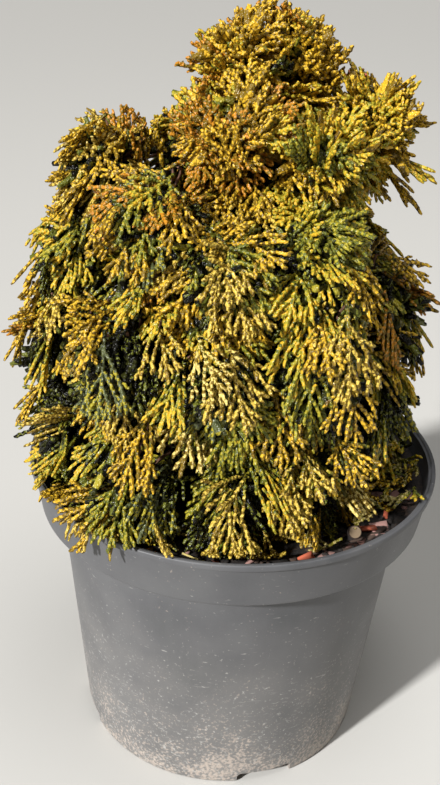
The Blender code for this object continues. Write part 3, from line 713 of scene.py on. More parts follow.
def trunk_surface(height):
    heights, radii = zip(*[(place.z, radius) for place, radius in trunk_stations()])
    return float(np.interp(height, heights, radii))


print(f"trunk: {trunk_radius(0) / MM:.1f} mm at the foot, {trunk_radius(1) / MM:.1f} at the tip")

# %% The boughs' lines
BOUGH_BASE_RADIUS, BOUGH_TIP_RADIUS = 3.4 * MM, 2.0 * MM
BOUGH_COLLAR, BOUGH_SLOPE, BOUGH_CLEARANCE = 3 * MM, 0.6, 1.2 * MM
BOUGH_LOWEST, BOUGH_HIGHEST = 0.03, 0.97
BOUGH_ENTRY, BOUGH_END = 0.35, 0.62
BOUGH_TRIES, BOUGH_STEP = 60, 0.05
BOUGH_THICKEST, COLLAR_SHARE, END_SHARE = 0.6, 0.9, 0.7     # the first is of the trunk's radius


def tip_of_bough(name):
    centre = centre_of(name)
    inward = (trunk_point(clamp(trunk_share(centre.z), 0, 1)) - centre).xy.to_3d()
    inward.z -= BOUGH_ENTRY * inward.xy.length
    return centre + inward.normalized() * min(BOUGH_END * reach_of(name)[0], 0.5 * inward.length)


def bough_stations(name, rise):
    tip = tip_of_bough(name)
    share = clamp(trunk_share(tip.z - rise), BOUGH_LOWEST, BOUGH_HIGHEST)
    axis = trunk_point(share)
    outward = (tip - axis).xy.normalized().to_3d()
    thick = min(BOUGH_BASE_RADIUS, BOUGH_THICKEST * trunk_radius(share))
    start = axis + outward * (trunk_surface(axis.z - thick) + GAP)
    shoulder = start + outward * BOUGH_COLLAR
    return [(start, thick), (shoulder, COLLAR_SHARE * thick),
            (tip, min(BOUGH_TIP_RADIUS, END_SHARE * thick))]


def beads(stations, steps=12):
    """Places along a limb, with its radius at each."""
    for (first, wide), (second, slim) in zip(stations, stations[1:]):
        for step in range(steps + 1):
            yield first.lerp(second, step / steps), between((wide, slim), step / steps)


def pick_bough(name, others):
    """The first line with room round it: the natural slope, then steeper and flatter by turns."""
    run = (tip_of_bough(name) - TRUNK_FOOT).xy.length
    for step in range(BOUGH_TRIES):
        aside = (step + 1) // 2 * (1 if step % 2 else -1)
        stations = bough_stations(name, run * (BOUGH_SLOPE + aside * BOUGH_STEP))
        if all((place - other).length - radius - other_radius > BOUGH_CLEARANCE
               for place, radius in beads(stations) for other, other_radius in others):
            return stations
    raise ValueError(f"no room on the trunk for the bough of {name}")


boughs, taken = {}, []
for mass in MASS_NAMES[1:]:
    boughs[mass] = pick_bough(mass, taken)
    taken += beads(boughs[mass])
print("boughs:", len(boughs))


# %% [markdown]
# Cypress bark is thin and stringy: red-brown strips run up the stem and peel at their edges, dull
# and rough. The limbs start as curves with a bevel and become meshes. Their skin is then lifted by
# a noise that is drawn out along the limb, which gives the strips real relief.

# %% Barked limbs
BARK_LIFT = 0.18            # of the limb's radius
STRIP_WIDTH, STRIP_LENGTH, LIMB_STEP = 3.2 * MM, 22 * MM, 2.5 * MM
FINE_STRIPS, FINE_SHARE = 2.3, 0.5          # times as many, and their relief
LIMB_END = 1.2 * MM         # a bough's radius in the middle of its mass


def smooth_stations(stations):
    """Stations a few millimetres apart, on a softened line through the given ones."""
    fine = []
    for (first, wide), (second, slim) in zip(stations, stations[1:]):
        steps = max(2, int((second - first).length / LIMB_STEP))
        fine += [(first.lerp(second, s / steps), wide + (slim - wide) * s / steps)
                 for s in range(steps)]
    fine.append(stations[-1])
    for _ in range(3):
        middle = [((a + 2 * b + c) / 4, (ra + 2 * rb + rc) / 4)
                  for (a, ra), (b, rb), (c, rc) in zip(fine, fine[1:], fine[2:])]
        fine = [fine[0], *middle, fine[-1]]
    return fine


def barked_limb(stations, resolution):
    """A tapered tube whose skin has raised strips, as a bmesh."""
    curve = bpy.data.curves.new("limb", "CURVE")
    curve.dimensions, curve.use_fill_caps = "3D", True
    curve.bevel_depth, curve.bevel_resolution = 1, resolution
    fine = smooth_stations(stations)
    spline = curve.splines.new("POLY")
    spline.points.add(len(fine) - 1)
    for point, (place, radius) in zip(spline.points, fine):
        point.co, point.radius = (*place, 1), radius
    bm = bmesh.new()
    bm.from_mesh(baked_mesh(link("limb", curve)))
    bmesh.ops.remove_doubles(bm, verts=bm.verts, dist=WELD)
    bm.normal_update()
    line = (stations[-1][0] - stations[0][0]).normalized()
    lifts = []
    for vert in bm.verts:
        ahead = line * vert.co.dot(line)
        place = (vert.co - ahead) / STRIP_WIDTH + ahead / STRIP_LENGTH
        lifts.append(noise.noise(place) + FINE_SHARE * noise.noise(place * FINE_STRIPS))
    for vert, lift in zip(bm.verts, lifts):
        near = min(fine, key=lambda station: (station[0] - vert.co).length_squared)
        vert.co += vert.normal * lift * BARK_LIFT * near[1]
    return bm


bark = grained_material("stringy_cypress_bark", 0.9, 6 * MM, [
    (0.35, "#3a2a20"), (0.52, "#6b4a35"), (0.7, "#94705a")], (0.7, 0.5 * MM), (3, 3, 0.5))
trunk_mesh = to_mesh(barked_limb(trunk_stations(), 8), "barked_trunk", [bark], smooth=True)
make_piece("barked_trunk", trunk_mesh, ["trunk"])
bough_bm = bmesh.new()
for mass, stations in boughs.items():
    limb = barked_limb([*stations, (centre_of(mass), LIMB_END)], 2)
    bough_bm.from_mesh(to_mesh(limb, "limb"))
make_piece("barked_boughs", to_mesh(bough_bm, "barked_boughs", [bark], smooth=True),
           [f"bough_{mass}" for mass in boughs])


# %% [markdown]
# ## Foliage
#
# A hinoki cypress carries no needles. Its leaves are scales a millimetre or so long, pressed in
# pairs on to cords as thick as a matchstick, first a pair at the sides and then a pair on the
# faces. The cords branch in one plane, left and right by turns, and make a spray like a fern. So
# each cord is a closed tube with four sides and a ring of corners for each pair of scales. The
# rings stand to the left and right by turns, and each is rolled a little, so that the facets catch
# the light as the real plaited pattern does.
#
# The scales get plain colours. A spray is old and green at its root and new and golden at its
# tips, and each scale is dealt a little older or younger than its place, which gives the speckle.
# Sprays that stand in the sun go from gold to orange. Those set deeper in the mass get dark green
# and near-black tints: painted shade, along with the greener colour of shaded foliage.

# %% Scale-leaf colours
SCALE_COLOURS = {
    # deep_green is painted shade deep in the crown; dark_green is partly old foliage, partly shade
    "deep_green": "#12110a", "dark_green": "#2f3012", "blue_green": "#565b3a",
    "mid_green": "#5d601f", "olive": "#645c1c", "yellow_green": "#9d912b",
    "bronze": "#664e18", "mid_gold": "#78601b", "sunlit_gold": "#cfa62c",
    "orange_gold": "#b87c20", "straw_gold": "#cdb04b", "cream_gold": "#d6bf6b",
    "rust": "#a85a3c", "fresh_green": "#8ea034", "khaki": "#a3935a",
}
SCALE_NAMES = list(SCALE_COLOURS)
SHADED_TINTS = ("deep_green", "dark_green")      # tints of painted shade, with less gloss so that they stay dark
GLOSS, SHADE_TINT_GLOSS, LEAF_ROUGHNESS = 0.38, 0.2, 0.27
KEEL_SIZE, KEEL_DEPTH = 1.7 * MM, 0.9 * MM
# Tints from a spray's root to its tips, of every second scale and of those between. The darker
# tint between the scales is partly their own greener colour and partly painted shade in the
# notches between them. The last one named lasts to the tips.
AGES = 6
SPRAY_TINTS = {
    "gold": ("deep_green dark_green olive bronze mid_gold",
             "dark_green olive mid_gold sunlit_gold"),
    "orange": ("deep_green dark_green bronze bronze mid_gold",
               "dark_green olive mid_gold orange_gold"),
    "straw": ("deep_green deep_green olive olive mid_gold",
              "dark_green mid_green yellow_green straw_gold"),
    "cream": ("deep_green dark_green olive olive mid_gold",
              "mid_green yellow_green straw_gold cream_gold"),
    "lime": ("deep_green deep_green dark_green mid_green mid_green yellow_green",
             "dark_green mid_green mid_green yellow_green yellow_green sunlit_gold"),
    "green": ("deep_green deep_green dark_green dark_green mid_green",
              "dark_green dark_green mid_green mid_green yellow_green"),
    "blue": ("deep_green deep_green dark_green dark_green blue_green",
             "dark_green blue_green blue_green blue_green yellow_green"),
    # The deep hue is painted shade: near-black sprays for the dark inside of the crown.
    "deep": ("deep_green", "deep_green deep_green dark_green dark_green dark_green mid_green"),
    "fresh": ("deep_green dark_green dark_green mid_green", "dark_green mid_green fresh_green"),
    "dry": ("dark_green dark_green olive", "olive olive khaki"),
    "dead": ("bronze", "rust"),
}
# Dark hues of the sprays set deeper are painted shade, along with the greener colour of shaded
# foliage.
PAINTED_SHADE_HUES, FALLEN_HUES = "deep 3 green 4 blue 1 lime 1", "dry 6 gold 2 lime 2 green 1"


def tint_numbers(lines):
    """A row for each age, with the numbers of its two tints."""
    words = [line.split() for line in lines]
    return np.array([[SCALE_NAMES.index(tints[min(age, len(tints) - 1)]) for tints in words]
                     for age in range(AGES)])


def pick_hue(shares, rng):
    words = shares.split()
    return rng.choices(words[::2], [int(word) for word in words[1::2]])[0]


def scale_leaf(name):
    """Waxy scale leaves: plain pigment under a cuticle, which glints in the sun.

    The keel and the edges of each scale are under two millimetres across, so they are relief.
    """
    gloss = SHADE_TINT_GLOSS if name in SHADED_TINTS else GLOSS
    material, tree = new_material(f"waxy_scale_leaf_{name}", Base_Color=SCALE_COLOURS[name],
                                  Roughness=LEAF_ROUGHNESS, Specular_IOR_Level=gloss)
    place = add(tree, "TexCoord", out="Object")
    keels = add(tree, "TexVoronoi", Vector=place, Scale=1 / KEEL_SIZE)
    bump = add(tree, "Bump", {"invert": True}, Strength=1.0, Distance=KEEL_DEPTH, Height=keels)
    add(tree, "Principled BSDF", Normal=bump)
    return material


AGE_TINTS = {hue: tint_numbers(lines) for hue, lines in SPRAY_TINTS.items()}
scale_materials = [scale_leaf(name) for name in SCALE_NAMES]
print("scale leaf materials:", len(scale_materials))


# %% [markdown]
# One cord is laid out flat first, on the sheet of its spray, as a line that bends forward. The
# sheet is then curved: it droops under its own weight and is a little cupped. Cords that lie deep
# in a mass hardly show, so they are thicker, and plain between a few rings.

# %% Cords on a sheet
SCALE_PITCH, PLAIN_PITCH = 1.55 * MM, 7 * MM        # between rings; of the hidden cords
CORD_RADIUS, HIDDEN_RADIUS = 1.22 * MM, 2.9 * MM
FLATNESS, SWAY = 0.82, 0.2          # thickness over width; how far a scale stands to its side
CORD_SWELL = 1.12                   # its end against its root
TIP_SHARES = (0.9, 0.5)             # of the last two rings' size
UNEVEN, ROLL = 0.06, 0.2
SPECKLE = np.random.default_rng(7)
SPRAY_YOUTH, CORD_YOUTH, AGE_SPREAD, STRAY_SCALES = (0.22, 0.06), 0.05, 0.14, 0.15
AGE_RISE, CORD_AGE_RISE = 0.75, 0.3     # over a spray's length; over a cord's
BURIED_AGE_AND_SHADE = 0.45                   # what lies deep in a mass is older, and its darker tints are also painted shade
TOP_YOUTH_AND_LIGHT = 0.25                    # foliage at the plant's tip is newer, and its lighter tints also paint the light on the top


def lay_cord(start, angle, length, bend, scaled):
    """Points of a cord on its sheet, as (ahead, across), and the direction of each."""
    count = max(2, round(length / (SCALE_PITCH if scaled else PLAIN_PITCH)))
    angles = angle + bend * np.linspace(0, 1, count + 1)
    steps = np.stack([np.cos(angles), np.sin(angles)], 1)[:-1] * length / count
    return np.vstack([start, start + np.cumsum(steps, axis=0)]), angles


def cord_rings(count, radius):
    """Width and thickness of every ring."""
    size = radius * np.linspace(1, CORD_SWELL, count) * SPECKLE.normal(1, UNEVEN, count)
    size[-2:] *= TIP_SHARES
    return size, size * FLATNESS


SIDE_START, SIDE_END = 0.18, 0.88
SIDE_SIZE, FINGER_SIZE = 0.96, 0.9      # of the axis's radius
FINGER_ANGLE, FINGER_BEND = math.radians(36), math.radians(14)
SHORTEST_SIDE, SHORTEST_FINGER = 4 * MM, 2.5 * MM
FINGER_ROOM, FINGER_SPARE = 0.8, 2 * MM     # longest: that share of the cord ahead, and so much more
WANDER, SIDE_LEAN = 0.2, 0.16
RUN_VARIES, TURN_VARIES, BEND_VARIES = (0.75, 1.15), (0.85, 1.15), (0.6, 1.3)
FINGER_VARIES, SIDE_GAPS, FINGER_GAPS = (0.7, 1.3), (0.8, 1.2), (0.8, 1.25)
# How a spray branches, low on the plant and at its tip
HABITS = {
    "side_angle": (math.radians(36), math.radians(48)),
    "side_bend": (math.radians(26), math.radians(24)),
    "side_run": (0.9, 0.88),        # of the axis ahead of it
    "spacing": (4.4 * MM, 3.8 * MM),
    "first_finger": (16 * MM, 4.5 * MM),
    "finger": (10.5 * MM, 5.5 * MM),
    "finger_spacing": (7.5 * MM, 4.4 * MM),
    "stoutness": (1.0, 1.04),
}


def habit_at(share):
    return {name: between(pair, share) for name, pair in HABITS.items()}


def lay_spray(length, habit, scaled, rng):
    """All cords of a spray: the axis, its side cords and their fingers, each with its radius
    and how steeply it leaves the sheet."""
    wander = rng.gauss(0, WANDER)
    axis, angles = lay_cord(np.zeros(2), -wander / 2, length, wander, scaled)
    cords = [(axis, CORD_RADIUS, 0)]
    side = rng.choice((-1, 1))
    at = SIDE_START * length
    while at < SIDE_END * length:
        side = -side
        number = int(at / length * (len(axis) - 1))
        run = max(SHORTEST_SIDE, (length - at) * habit["side_run"] * rng.uniform(*RUN_VARIES))
        turn = angles[number] + side * habit["side_angle"] * rng.uniform(*TURN_VARIES)
        bend = -side * habit["side_bend"] * rng.uniform(*BEND_VARIES)
        lean = rng.gauss(0, SIDE_LEAN)
        path, turns = lay_cord(axis[number], turn, run, bend, scaled)
        cords.append((path, CORD_RADIUS * SIDE_SIZE, lean))
        fork = habit["first_finger"] * rng.uniform(*FINGER_VARIES)
        hand = rng.choice((-1, 1))
        while fork < run - SHORTEST_FINGER:
            hand = -hand
            step = int(fork / run * (len(path) - 1))
            reach = habit["finger"] * rng.uniform(*FINGER_VARIES)
            reach = min(reach, (run - fork) * FINGER_ROOM + FINGER_SPARE)
            finger, _ = lay_cord(path[step], turns[step] + hand * FINGER_ANGLE, reach,
                                 -hand * FINGER_BEND, scaled)
            cords.append((finger, CORD_RADIUS * FINGER_SIZE, lean))
            fork += habit["finger_spacing"] * rng.uniform(*FINGER_GAPS)
        at += habit["spacing"] * rng.uniform(*SIDE_GAPS)
    return cords


print("cords in a spray of 40 mm:",
      len(lay_spray(40 * MM, habit_at(0), True, random.Random(1))))


# %% [markdown]
# Foliage leans out over the pot, so it must miss the soil and the lip. A level is worked out for
# every distance from the axis: just above the soil, over the lip, and down again outside it.
# Anything below that level is lifted on to it, as a spray that rests on the rim is.

# %% What the lowest sprays rest on
CENTRES = np.array([MASSES[name][:3] for name in MASS_NAMES]) * MM
REACHES = np.array([[MASSES[name][n] for n in (3, 3, 4)] for name in MASS_NAMES]) * MM
BURIED_CORD, HIDDEN_RING = 0.64, 4      # a buried cord keeps every fourth ring
REST_RADII = np.array([0, 112, 122, 137, 141, 200]) * MM
REST_LEVELS = np.array([196, 194, 206.5, 206.5, 194, 180]) * MM
FLOW_LOW, FLOW_HIGH = 260 * MM, 440 * MM
SAG_DOWN, SAG_IN = 0.7, 0.3             # a sheet droops downwards and away from its face


def height_share(height):
    """0 where sprays hang, low on the plant, and 1 where they stand up, near its tip."""
    return clamp((height - FLOW_LOW) / (FLOW_HIGH - FLOW_LOW), 0, 1)


def depth(place, left_out=None):
    """How far out a place lies in the nearest mass: 0 at its middle, 1 at its reach."""
    shares = np.linalg.norm((np.asarray(place) - CENTRES) / REACHES, axis=1)
    if left_out:
        shares[MASS_NAMES.index(left_out)] = np.inf
    return shares.min()


class SpraySheet:
    """The curved sheet that a spray grows in."""

    def __init__(self, root, heading, face, length, droop, cup):
        self.root, self.heading, self.face = np.array(root), np.array(heading), np.array(face)
        self.side = np.array(face.cross(heading))
        self.sag = np.array(UP * SAG_DOWN + face * SAG_IN)
        self.length, self.droop, self.cup = length, droop, cup

    def place(self, path, lean):
        """The flat path in space. lean is how steeply the cord leaves the sheet."""
        ahead, across = path[:, :1], path[:, 1:]
        away = np.hypot(ahead - ahead[0], across - across[0])
        lift = (self.cup * across ** 2 - self.droop * ahead ** 2) / self.length
        place = (self.root + self.heading * ahead + self.side * across + self.sag * lift
                 + self.face * away * lean)
        rest = np.interp(np.hypot(place[:, 0], place[:, 1]), REST_RADII, REST_LEVELS)
        place[:, 2] = np.maximum(place[:, 2], rest)
        return place


def grow_spray(gatherer, sheet, hue, habit, scaled, rng):
    """Adds one whole spray of cords, with its colours."""
    tints = AGE_TINTS[hue]
    # Near the top sprays are dealt younger, lighter tints: new growth, and painted light from above.
    spray_youth = rng.gauss(*SPRAY_YOUTH) + TOP_YOUTH_AND_LIGHT * height_share(sheet.root[2])
    for path, radius, lean in lay_spray(sheet.length, habit, scaled, rng):
        youth = spray_youth + rng.gauss(0, CORD_YOUTH)
        place = sheet.place(path, lean)
        shows = scaled and depth(place[-1]) > BURIED_CORD
        if scaled and not shows:
            keep = np.r_[0:len(path) - 1:HIDDEN_RING, len(path) - 1]
            path, place = path[keep], place[keep]
            # Buried cords get older, darker tints: partly their real age, partly painted shade.
            youth -= BURIED_AGE_AND_SHADE
        rings = len(path)
        radius *= habit["stoutness"]
        wide, thick = cord_rings(rings, radius if shows else HIDDEN_RADIUS)
        roll = SPECKLE.normal(0, ROLL, rings)
        corners = tube_corners(place, sheet.face, wide, thick, roll, SWAY * radius * shows)
        age = (youth + path[:, 0] / sheet.length * AGE_RISE
               + CORD_AGE_RISE * np.linspace(0, 1, rings))
        age = age[:, None] + SPECKLE.normal(0, AGE_SPREAD, (rings, 4))
        stage = np.clip(age * AGES, 0, AGES - 1).astype(int)
        # Every second scale takes the darker tint: partly its own colour, partly painted shade
        # between scales.
        turn = np.arange(rings)[:, None] + np.arange(4)
        scale = (turn + (SPECKLE.random((rings, 4)) < STRAY_SCALES)) % 2
        scale_tints = tints[stage, scale]
        gatherer.add(corners, tube_faces(rings),
                     np.concatenate([scale_tints[:-1].ravel(), scale_tints[[0, -1], 0]]))


# %% [markdown]
# The sprays of a mass are set by the construction's rule, only finer. Their tips turn by the
# golden angle all round the mass, and each leaves its twig part of the way out. Low on the plant
# they hang outwards over each other like thatch, and towards the tip they stand up. Behind them a
# second, shorter set fills the inside of the mass, and a third the crown's middle. Both get dark
# tints as painted shade; only the inner set near the plant's top is painted gold, as lit.

# %% Which way sprays look
LIFT_HEIGHTS = np.array([210, 260, 395, 445]) * MM
LIFTS, NORMAL_FLOWS = (-0.35, -0.85, -0.55, 0.85), (0.9, 0.5, 0.5, 0.55)
RADIAL_FLOW, FLATTENING = 0.75, 0.7
FACE_LIFT, FACE_WOBBLE, LEAST_FACE = 0.35, 2, 0.2
SWIRL, SWIRL_SIZE = 0.55, 40 * MM
noise.seed_set(2)                   # noise_vector takes its offsets from this seed
CROWN_MIDDLE, CROWN_RADII = Vector((0, 0, 300 * MM)), Vector((130, 130, 175)) * MM


def crown_normal(place):
    offset = place - CROWN_MIDDLE
    return Vector([offset[n] / CROWN_RADII[n] ** 2 for n in range(3)]).normalized()


def directions(count, rng):
    """Directions spread evenly over a ball by the golden angle."""
    start = rng.uniform(0, math.tau)
    for number in range(count):
        height = 1 - 2 * (number + 0.5) / count
        ring = math.sqrt(1 - height ** 2)
        angle = start + number * GOLDEN_ANGLE
        yield Vector((ring * math.cos(angle), ring * math.sin(angle), height))


def spray_heading(direction, normal, place, wobble, outward):
    """Out of the mass, over the crown's surface: downwards when low, upright at the tip."""
    flow = direction * RADIAL_FLOW + UP * float(np.interp(place.z, LIFT_HEIGHTS, LIFTS))
    flow += noise.noise_vector(place / SWIRL_SIZE) * SWIRL
    flow -= normal * flow.dot(normal) * FLATTENING
    out = float(np.interp(place.z, LIFT_HEIGHTS, NORMAL_FLOWS)) + outward
    return (flow + normal * out + wobble).normalized()


def spray_face(heading, normal, wobble):
    """The flat side looks outwards and a little up."""
    for face in (normal + UP * FACE_LIFT + wobble * FACE_WOBBLE, UP + wobble):
        face = face - heading * face.dot(heading)
        if face.length > LEAST_FACE:
            break
    return face.normalized()


def wobble_vector(rng, size):
    return Vector([rng.gauss(0, size) for _ in range(3)])


# %% The sprays of one mass
REACH_TRIMS = {"apex_left": 0.97, "apex_right": 0.92, "middle_right": 0.96, "lower_right": 0.95}
# Notches of the outline, where the sky shows between two masses: middle and reach in mm
SKY_GAPS = [((4, 0, 484), 10), ((46, 5, 464), 10), ((66, 10, 452), 9), ((-63, 20, 418), 13)]
TIP_COUNTS, BACK_SHARE, BACK_FROM = (31, 54), 0.85, 30 * MM
OUTER_REACH, TOP_REACH, SHADED_REACH = (0.9, 1.09), (0.84, 1.0), (0.62, 0.86)
SHADED_TURN, SHADED_BELOW = 2, 0.7              # every second one, below this height share
# Pairs that hold low on the plant and at its top. Lengths are the shortest's and the longest's.
BURIED, DROOPS = (0.84, 0.72), (0.24, 0.06)
TIP_LENGTHS = ((42 * MM, 28 * MM), (58 * MM, 40 * MM))
INWARD_LIMIT = -0.12
TIP_WOBBLE, DROOP_VARIES, CUPS, ROOT_LIFT = 0.16, (0.5, 1.5), (-0.5, 0.1), 0.7
VALLEY_REACH, VALLEY_LIFT = 1.35, 17 * MM       # the dips between masses are filled a little
ROOT_DEPTH, OUTWARD_STEPS = 1.0, (0, 0.4, 0.8, 1.4, 2.2)
INNER_COUNT, INNER_ROOT, INNER_REACH, INNER_GROWTH = 16, 0.15, (0.6, 0.85), 0.15
INNER_WOBBLES, INNER_CURVE = (0.2, 0.3), (0.1, -0.2)        # of heading, face; droop, cup
LIT_THROUGH = 0.75                  # above this height share the inner sprays are painted gold as lit; below it, near-black shade
SKIRT_HEIGHT, SKIRT_DROP = 240 * MM, 12 * MM
HANG, HANG_FADE = 24 * MM, 0.3      # how far the undersides hang over the mass below


def outer_sheets(mass, rng):
    """Sheets whose tips lie evenly over the mass, wherever no other mass covers them.

    Below the top, every second one ends deeper, in the shade of its neighbours.
    """
    centre, (wide, high) = centre_of(mass), reach_of(mass)
    upper = height_share(centre.z) >= SHADED_BELOW
    count = between(TIP_COUNTS, height_share(centre.z))
    count = round(count * (BACK_SHARE if centre.y > BACK_FROM else 1))
    for number, direction in enumerate(directions(count, rng)):
        shaded = number % SHADED_TURN == 0 and not upper
        reaches = SHADED_REACH if shaded else TOP_REACH if upper else OUTER_REACH
        reach = rng.uniform(*reaches) * REACH_TRIMS.get(mass, 1)
        tip = centre + Vector((direction.x * wide, direction.y * wide, direction.z * high)) * reach
        near = depth(tip, mass)
        tip.z -= SKIRT_DROP * clamp((SKIRT_HEIGHT - tip.z) / SKIRT_DROP, 0, 1)
        tip.z -= HANG * (1 - height_share(tip.z) * HANG_FADE) * max(0, -direction.z)
        normal, share = crown_normal(tip), height_share(tip.z)
        wobble, lean = wobble_vector(rng, TIP_WOBBLE), wobble_vector(rng, TIP_WOBBLE)
        length = rng.uniform(*[between(pair, share) for pair in TIP_LENGTHS])
        droop, cup = between(DROOPS, share) * rng.uniform(*DROOP_VARIES), rng.uniform(*CUPS)
        buried = between(BURIED, share)
        in_sky = any((tip - Vector(middle) * MM).length < gap * MM for middle, gap in SKY_GAPS)
        if direction.dot(normal) < INWARD_LIMIT or near < buried or in_sky:
            continue
        tip += normal * VALLEY_LIFT * clamp((VALLEY_REACH - near) / (VALLEY_REACH - buried), 0, 1)
        for outward in OUTWARD_STEPS:
            heading = spray_heading(direction, normal, tip, wobble, outward)
            root = tip - heading * length + UP * droop * length * ROOT_LIFT
            if depth(root) < ROOT_DEPTH:
                break
        face = spray_face(heading, normal, lean)
        yield SpraySheet(root, heading, face, length, droop, cup), shaded


def inner_sheets(mass, rng):
    """Shorter sheets all round the middle of the mass."""
    centre, (wide, high) = centre_of(mass), reach_of(mass)
    for direction in directions(INNER_COUNT, rng):
        root = centre + direction * wide * INNER_ROOT
        heading = (direction + wobble_vector(rng, INNER_WOBBLES[0])).normalized()
        face = spray_face(heading, crown_normal(root), wobble_vector(rng, INNER_WOBBLES[1]))
        reach = high * rng.uniform(*INNER_REACH) * (1 + INNER_GROWTH * height_share(centre.z))
        yield SpraySheet(root, heading, face, reach, *INNER_CURVE)


twig_lines = []
for piece in ("gold_top", "gold_middle", "gold_low", "green_top", "green_middle", "green_back",
              "green_low"):
    gatherer, masses = Gatherer(), [name for name in MASS_NAMES if MASSES[name][5] == piece]
    for mass in masses:
        rng = random.Random(mass)
        for sheet, shaded in outer_sheets(mass, rng):
            # Sprays that end deeper get dark hues: painted shade.
            hue = pick_hue(PAINTED_SHADE_HUES if shaded else MASSES[mass][6], rng)
            habit = habit_at(height_share(sheet.root[2]))
            grow_spray(gatherer, sheet, hue, habit, True, rng)
            twig_lines.append((centre_of(mass), sheet))
        for sheet in inner_sheets(mass, rng):
            # Painted light and shade: inner sprays are gold where light reaches them and near-black
            # below.
            hue = "gold" if height_share(sheet.root[2]) > LIT_THROUGH else "deep"
            grow_spray(gatherer, sheet, hue, habit_at(0), False, rng)
            twig_lines.append((centre_of(mass), sheet))
    name = f"sprays_{piece}"
    make_piece(name, gatherer.mesh(name, scale_materials),
               masses)

# %% Sprays in the middle of the crown
SHOOT_SHARES, SHOOT_LENGTHS = (0.1, 0.25, 0.4, 0.55, 0.7, 0.85), (32 * MM, 50 * MM)
SHOOT_LOWEST, SHOOT_STEP = 0.15, 1.8 * MM
SHOOT_FORWARD, SHOOT_RISES, SHOOT_TILT = 0.6, (-0.2, 0.7), 0.5
SHOOT_WOBBLE, SHOOT_CURVE, SHOOT_HABIT = 0.3, (0.15, -0.2), habit_at(0.3)


def shoot_sheets(rng):
    """Sheets that stand off the trunk and the boughs, and close the middle of the crown."""
    spots = []
    for _, (shoulder, _), (tip, _) in boughs.values():
        spots += [(shoulder.lerp(tip, share), (tip - shoulder).normalized())
                  for share in SHOOT_SHARES]
    share = SHOOT_LOWEST
    while share < 1:
        spots.append((trunk_point(share), Vector((0, 0, 0))))
        share += SHOOT_STEP / (TRUNK_TIP.z - TRUNK_FOOT.z)
    for number, (spot, line) in enumerate(spots):
        turn = number * GOLDEN_ANGLE
        around = Vector((math.cos(turn), math.sin(turn), 0))
        heading = around + line * SHOOT_FORWARD + UP * rng.uniform(*SHOOT_RISES)
        heading, normal = heading.normalized(), (UP + around * SHOOT_TILT).normalized()
        face = spray_face(heading, normal, wobble_vector(rng, SHOOT_WOBBLE))
        yield SpraySheet(spot, heading, face, rng.uniform(*SHOOT_LENGTHS), *SHOOT_CURVE)


inner, shoot_rng = Gatherer(), random.Random("shoots")
for sheet in shoot_sheets(shoot_rng):
    # The shoots are dark green and near black: painted shade in the middle of the crown.
    hue = shoot_rng.choice(("deep", "green"))
    grow_spray(inner, sheet, hue, SHOOT_HABIT, False, shoot_rng)
make_piece("sprays_inner", inner.mesh("sprays_inner", scale_materials))


# %% [markdown]
# Shed sprigs lie on the soil where it is open, to the right, and lean on the rim. Single sprays
# stand out of the masses where the crown's outline has a tuft or its front a gap. One of them has
# died back to rust near the tip, and one by the front rim is still fresh green.

# %% Fallen and single sprays
FALLEN_COUNT, FALLEN_LENGTHS, FALLEN_RADII = 60, (14 * MM, 26 * MM), (94 * MM, 123 * MM)
FALLEN_SPREAD, FALLEN_TURN = math.radians(28), 1.9      # round from +X; about the inward way
FALLEN_LIFT, FALLEN_RISE, FALLEN_WOBBLE = 12, 0.3, 0.2      # the first is in mm
FALLEN_CURVE, SINGLE_CURVE = (0.05, -0.1), (0.1, -0.1)
FALLEN_HABIT, SINGLE_HABIT = habit_at(0.2), habit_at(0.5)
# Root in mm, heading, length in mm, hue
SINGLE_SPRAYS = [
    (2, -36, 402, 0.1, -0.9, -0.35, 46, "gold"), (12, -38, 400, 0.25, -0.85, -0.4, 44, "lime"),
    (-8, -40, 398, -0.2, -0.85, -0.4, 46, "gold"), (4, -40, 392, 0.0, -0.9, -0.3, 44, "straw"),
    (22, -44, 392, 0.3, -0.8, -0.5, 40, "green"), (8, -44, 384, 0.15, -0.85, -0.3, 42, "lime"),
    (24, -64, 258, 0.2, -0.85, -0.5, 44, "straw"), (32, -62, 252, 0.4, -0.8, -0.5, 42, "lime"),
    (-108, -8, 288, -0.97, -0.2, 0, 40, "orange"), (-104, -6, 300, -0.97, -0.2, -0.1, 40, "gold"),
    (82, -4, 330, 0.93, -0.3, -0.2, 40, "orange"), (80, -6, 320, 0.95, -0.3, -0.05, 40, "gold"),
    (62, -2, 420, 0.65, 0, 0.75, 40, "gold"), (70, 2, 416, 0.55, -0.1, 0.8, 38, "lime"),
    # The deep spray at (-30, -32, 330) is near black: painted shade that closes a gap in the front.
    (-42, -36, 336, 0.2, -0.9, -0.3, 40, "green"), (-30, -32, 330, -0.1, -0.9, -0.3, 42, "deep"),
    (70, -2, 408, 0.85, -0.1, -0.35, 42, "lime"), (72, 0, 398, 0.75, -0.2, -0.6, 40, "gold"),
    (-86, 2, 380, -0.95, -0.2, 0, 34, "gold"), (14, -2, 424, 0.45, -0.5, 0.6, 32, "lime"),
    (6, -4, 438, 0.3, -0.9, 0.25, 28, "gold"), (14, 0, 432, 0.45, -0.8, 0.2, 30, "lime"),
    (4, -2, 442, 0.25, -0.9, 0.3, 26, "lime"), (24, 0, 428, 0.5, -0.8, 0.3, 32, "gold"),
    (-34, -52, 330, -0.05, -0.3, -0.95, 44, "green"),
    (-66, -46, 346, -0.2, -0.35, -0.9, 46, "green"),
    (34, -88, 262, 0.45, -0.75, -0.6, 40, "straw"), (46, -84, 250, 0.5, -0.7, -0.6, 28, "lime"),
    (54, -76, 262, 0.6, -0.7, -0.5, 40, "gold"), (24, -92, 246, 0.3, -0.8, -0.6, 42, "straw"),
    (54, 12, 430, 0.3, -0.35, 0.9, 22, "dead"), (5, -84, 208, -0.08, -1, -0.2, 34, "fresh"),
]


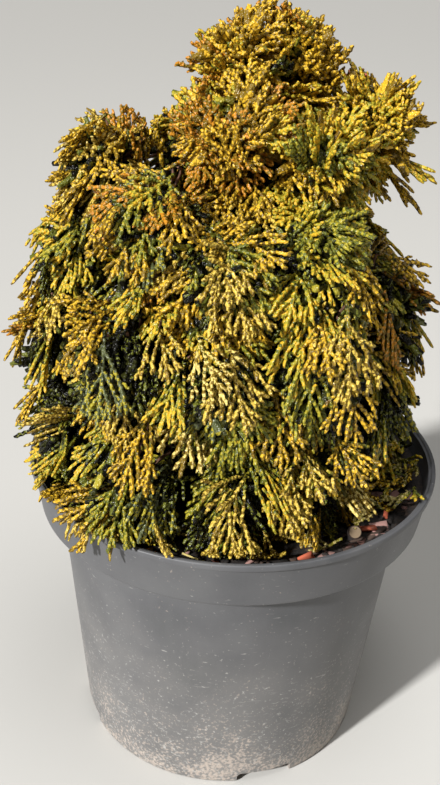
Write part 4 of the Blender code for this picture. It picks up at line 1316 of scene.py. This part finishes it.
def fallen_sheets(rng):
    for _ in range(FALLEN_COUNT):
        angle = rng.gauss(0, FALLEN_SPREAD)
        turn = angle + math.pi + rng.uniform(-FALLEN_TURN, FALLEN_TURN)
        radius = rng.uniform(*FALLEN_RADII)
        root = Vector((radius * math.cos(angle), radius * math.sin(angle),
                       SOIL_LEVEL + rng.uniform(0, FALLEN_LIFT) * MM))
        heading = Vector((math.cos(turn), math.sin(turn), rng.uniform(0, FALLEN_RISE)))
        heading = heading.normalized()
        face = spray_face(heading, UP, wobble_vector(rng, FALLEN_WOBBLE))
        yield SpraySheet(root, heading, face, rng.uniform(*FALLEN_LENGTHS), *FALLEN_CURVE)


loose, loose_rng = Gatherer(), random.Random("loose")
for sheet in fallen_sheets(loose_rng):
    hue = pick_hue(FALLEN_HUES, loose_rng)
    grow_spray(loose, sheet, hue, FALLEN_HABIT, True, loose_rng)
for *numbers, length, hue in SINGLE_SPRAYS:
    root, heading = Vector(numbers[:3]) * MM, Vector(numbers[3:]).normalized()
    face = spray_face(heading, crown_normal(root), Vector((0, 0, 0)))
    sheet = SpraySheet(root, heading, face, length * MM, *SINGLE_CURVE)
    grow_spray(loose, sheet, hue, SINGLE_HABIT, True, loose_rng)
make_piece("loose_sprays", loose.mesh("loose_sprays", scale_materials))


# %% [markdown]
# Every spray hangs on a brown twig that curves out from its bough's end. Most of them are hidden,
# but they show in the gaps, and they are what carries the sprays.

# %% Twigs
TWIG_RADIUS, TWIG_RINGS, TWIG_TAPER = 1.0 * MM, 6, (1.3, 0.7)
TWIG_RUN = 0.12             # how far it runs on along its spray
TWIG_FACE = (0.3, 0.9, 0.1)

twigs = Gatherer()
for centre, sheet in twig_lines:
    first, last = np.array(centre), sheet.root + sheet.heading * TWIG_RUN * sheet.length
    bend = sheet.root - sheet.heading * TWIG_RUN * np.linalg.norm(last - first)
    share = np.linspace(0, 1, TWIG_RINGS)[:, None]
    path = first * (1 - share) ** 2 + 2 * bend * share * (1 - share) + last * share ** 2
    radius = TWIG_RADIUS * np.linspace(*TWIG_TAPER, TWIG_RINGS)
    face = np.cross(path[-1] - path[0], TWIG_FACE)
    twigs.add(tube_corners(path, face, radius, radius), tube_faces(TWIG_RINGS), 0)
make_piece("woody_twigs", twigs.mesh("woody_twigs", [bark]))
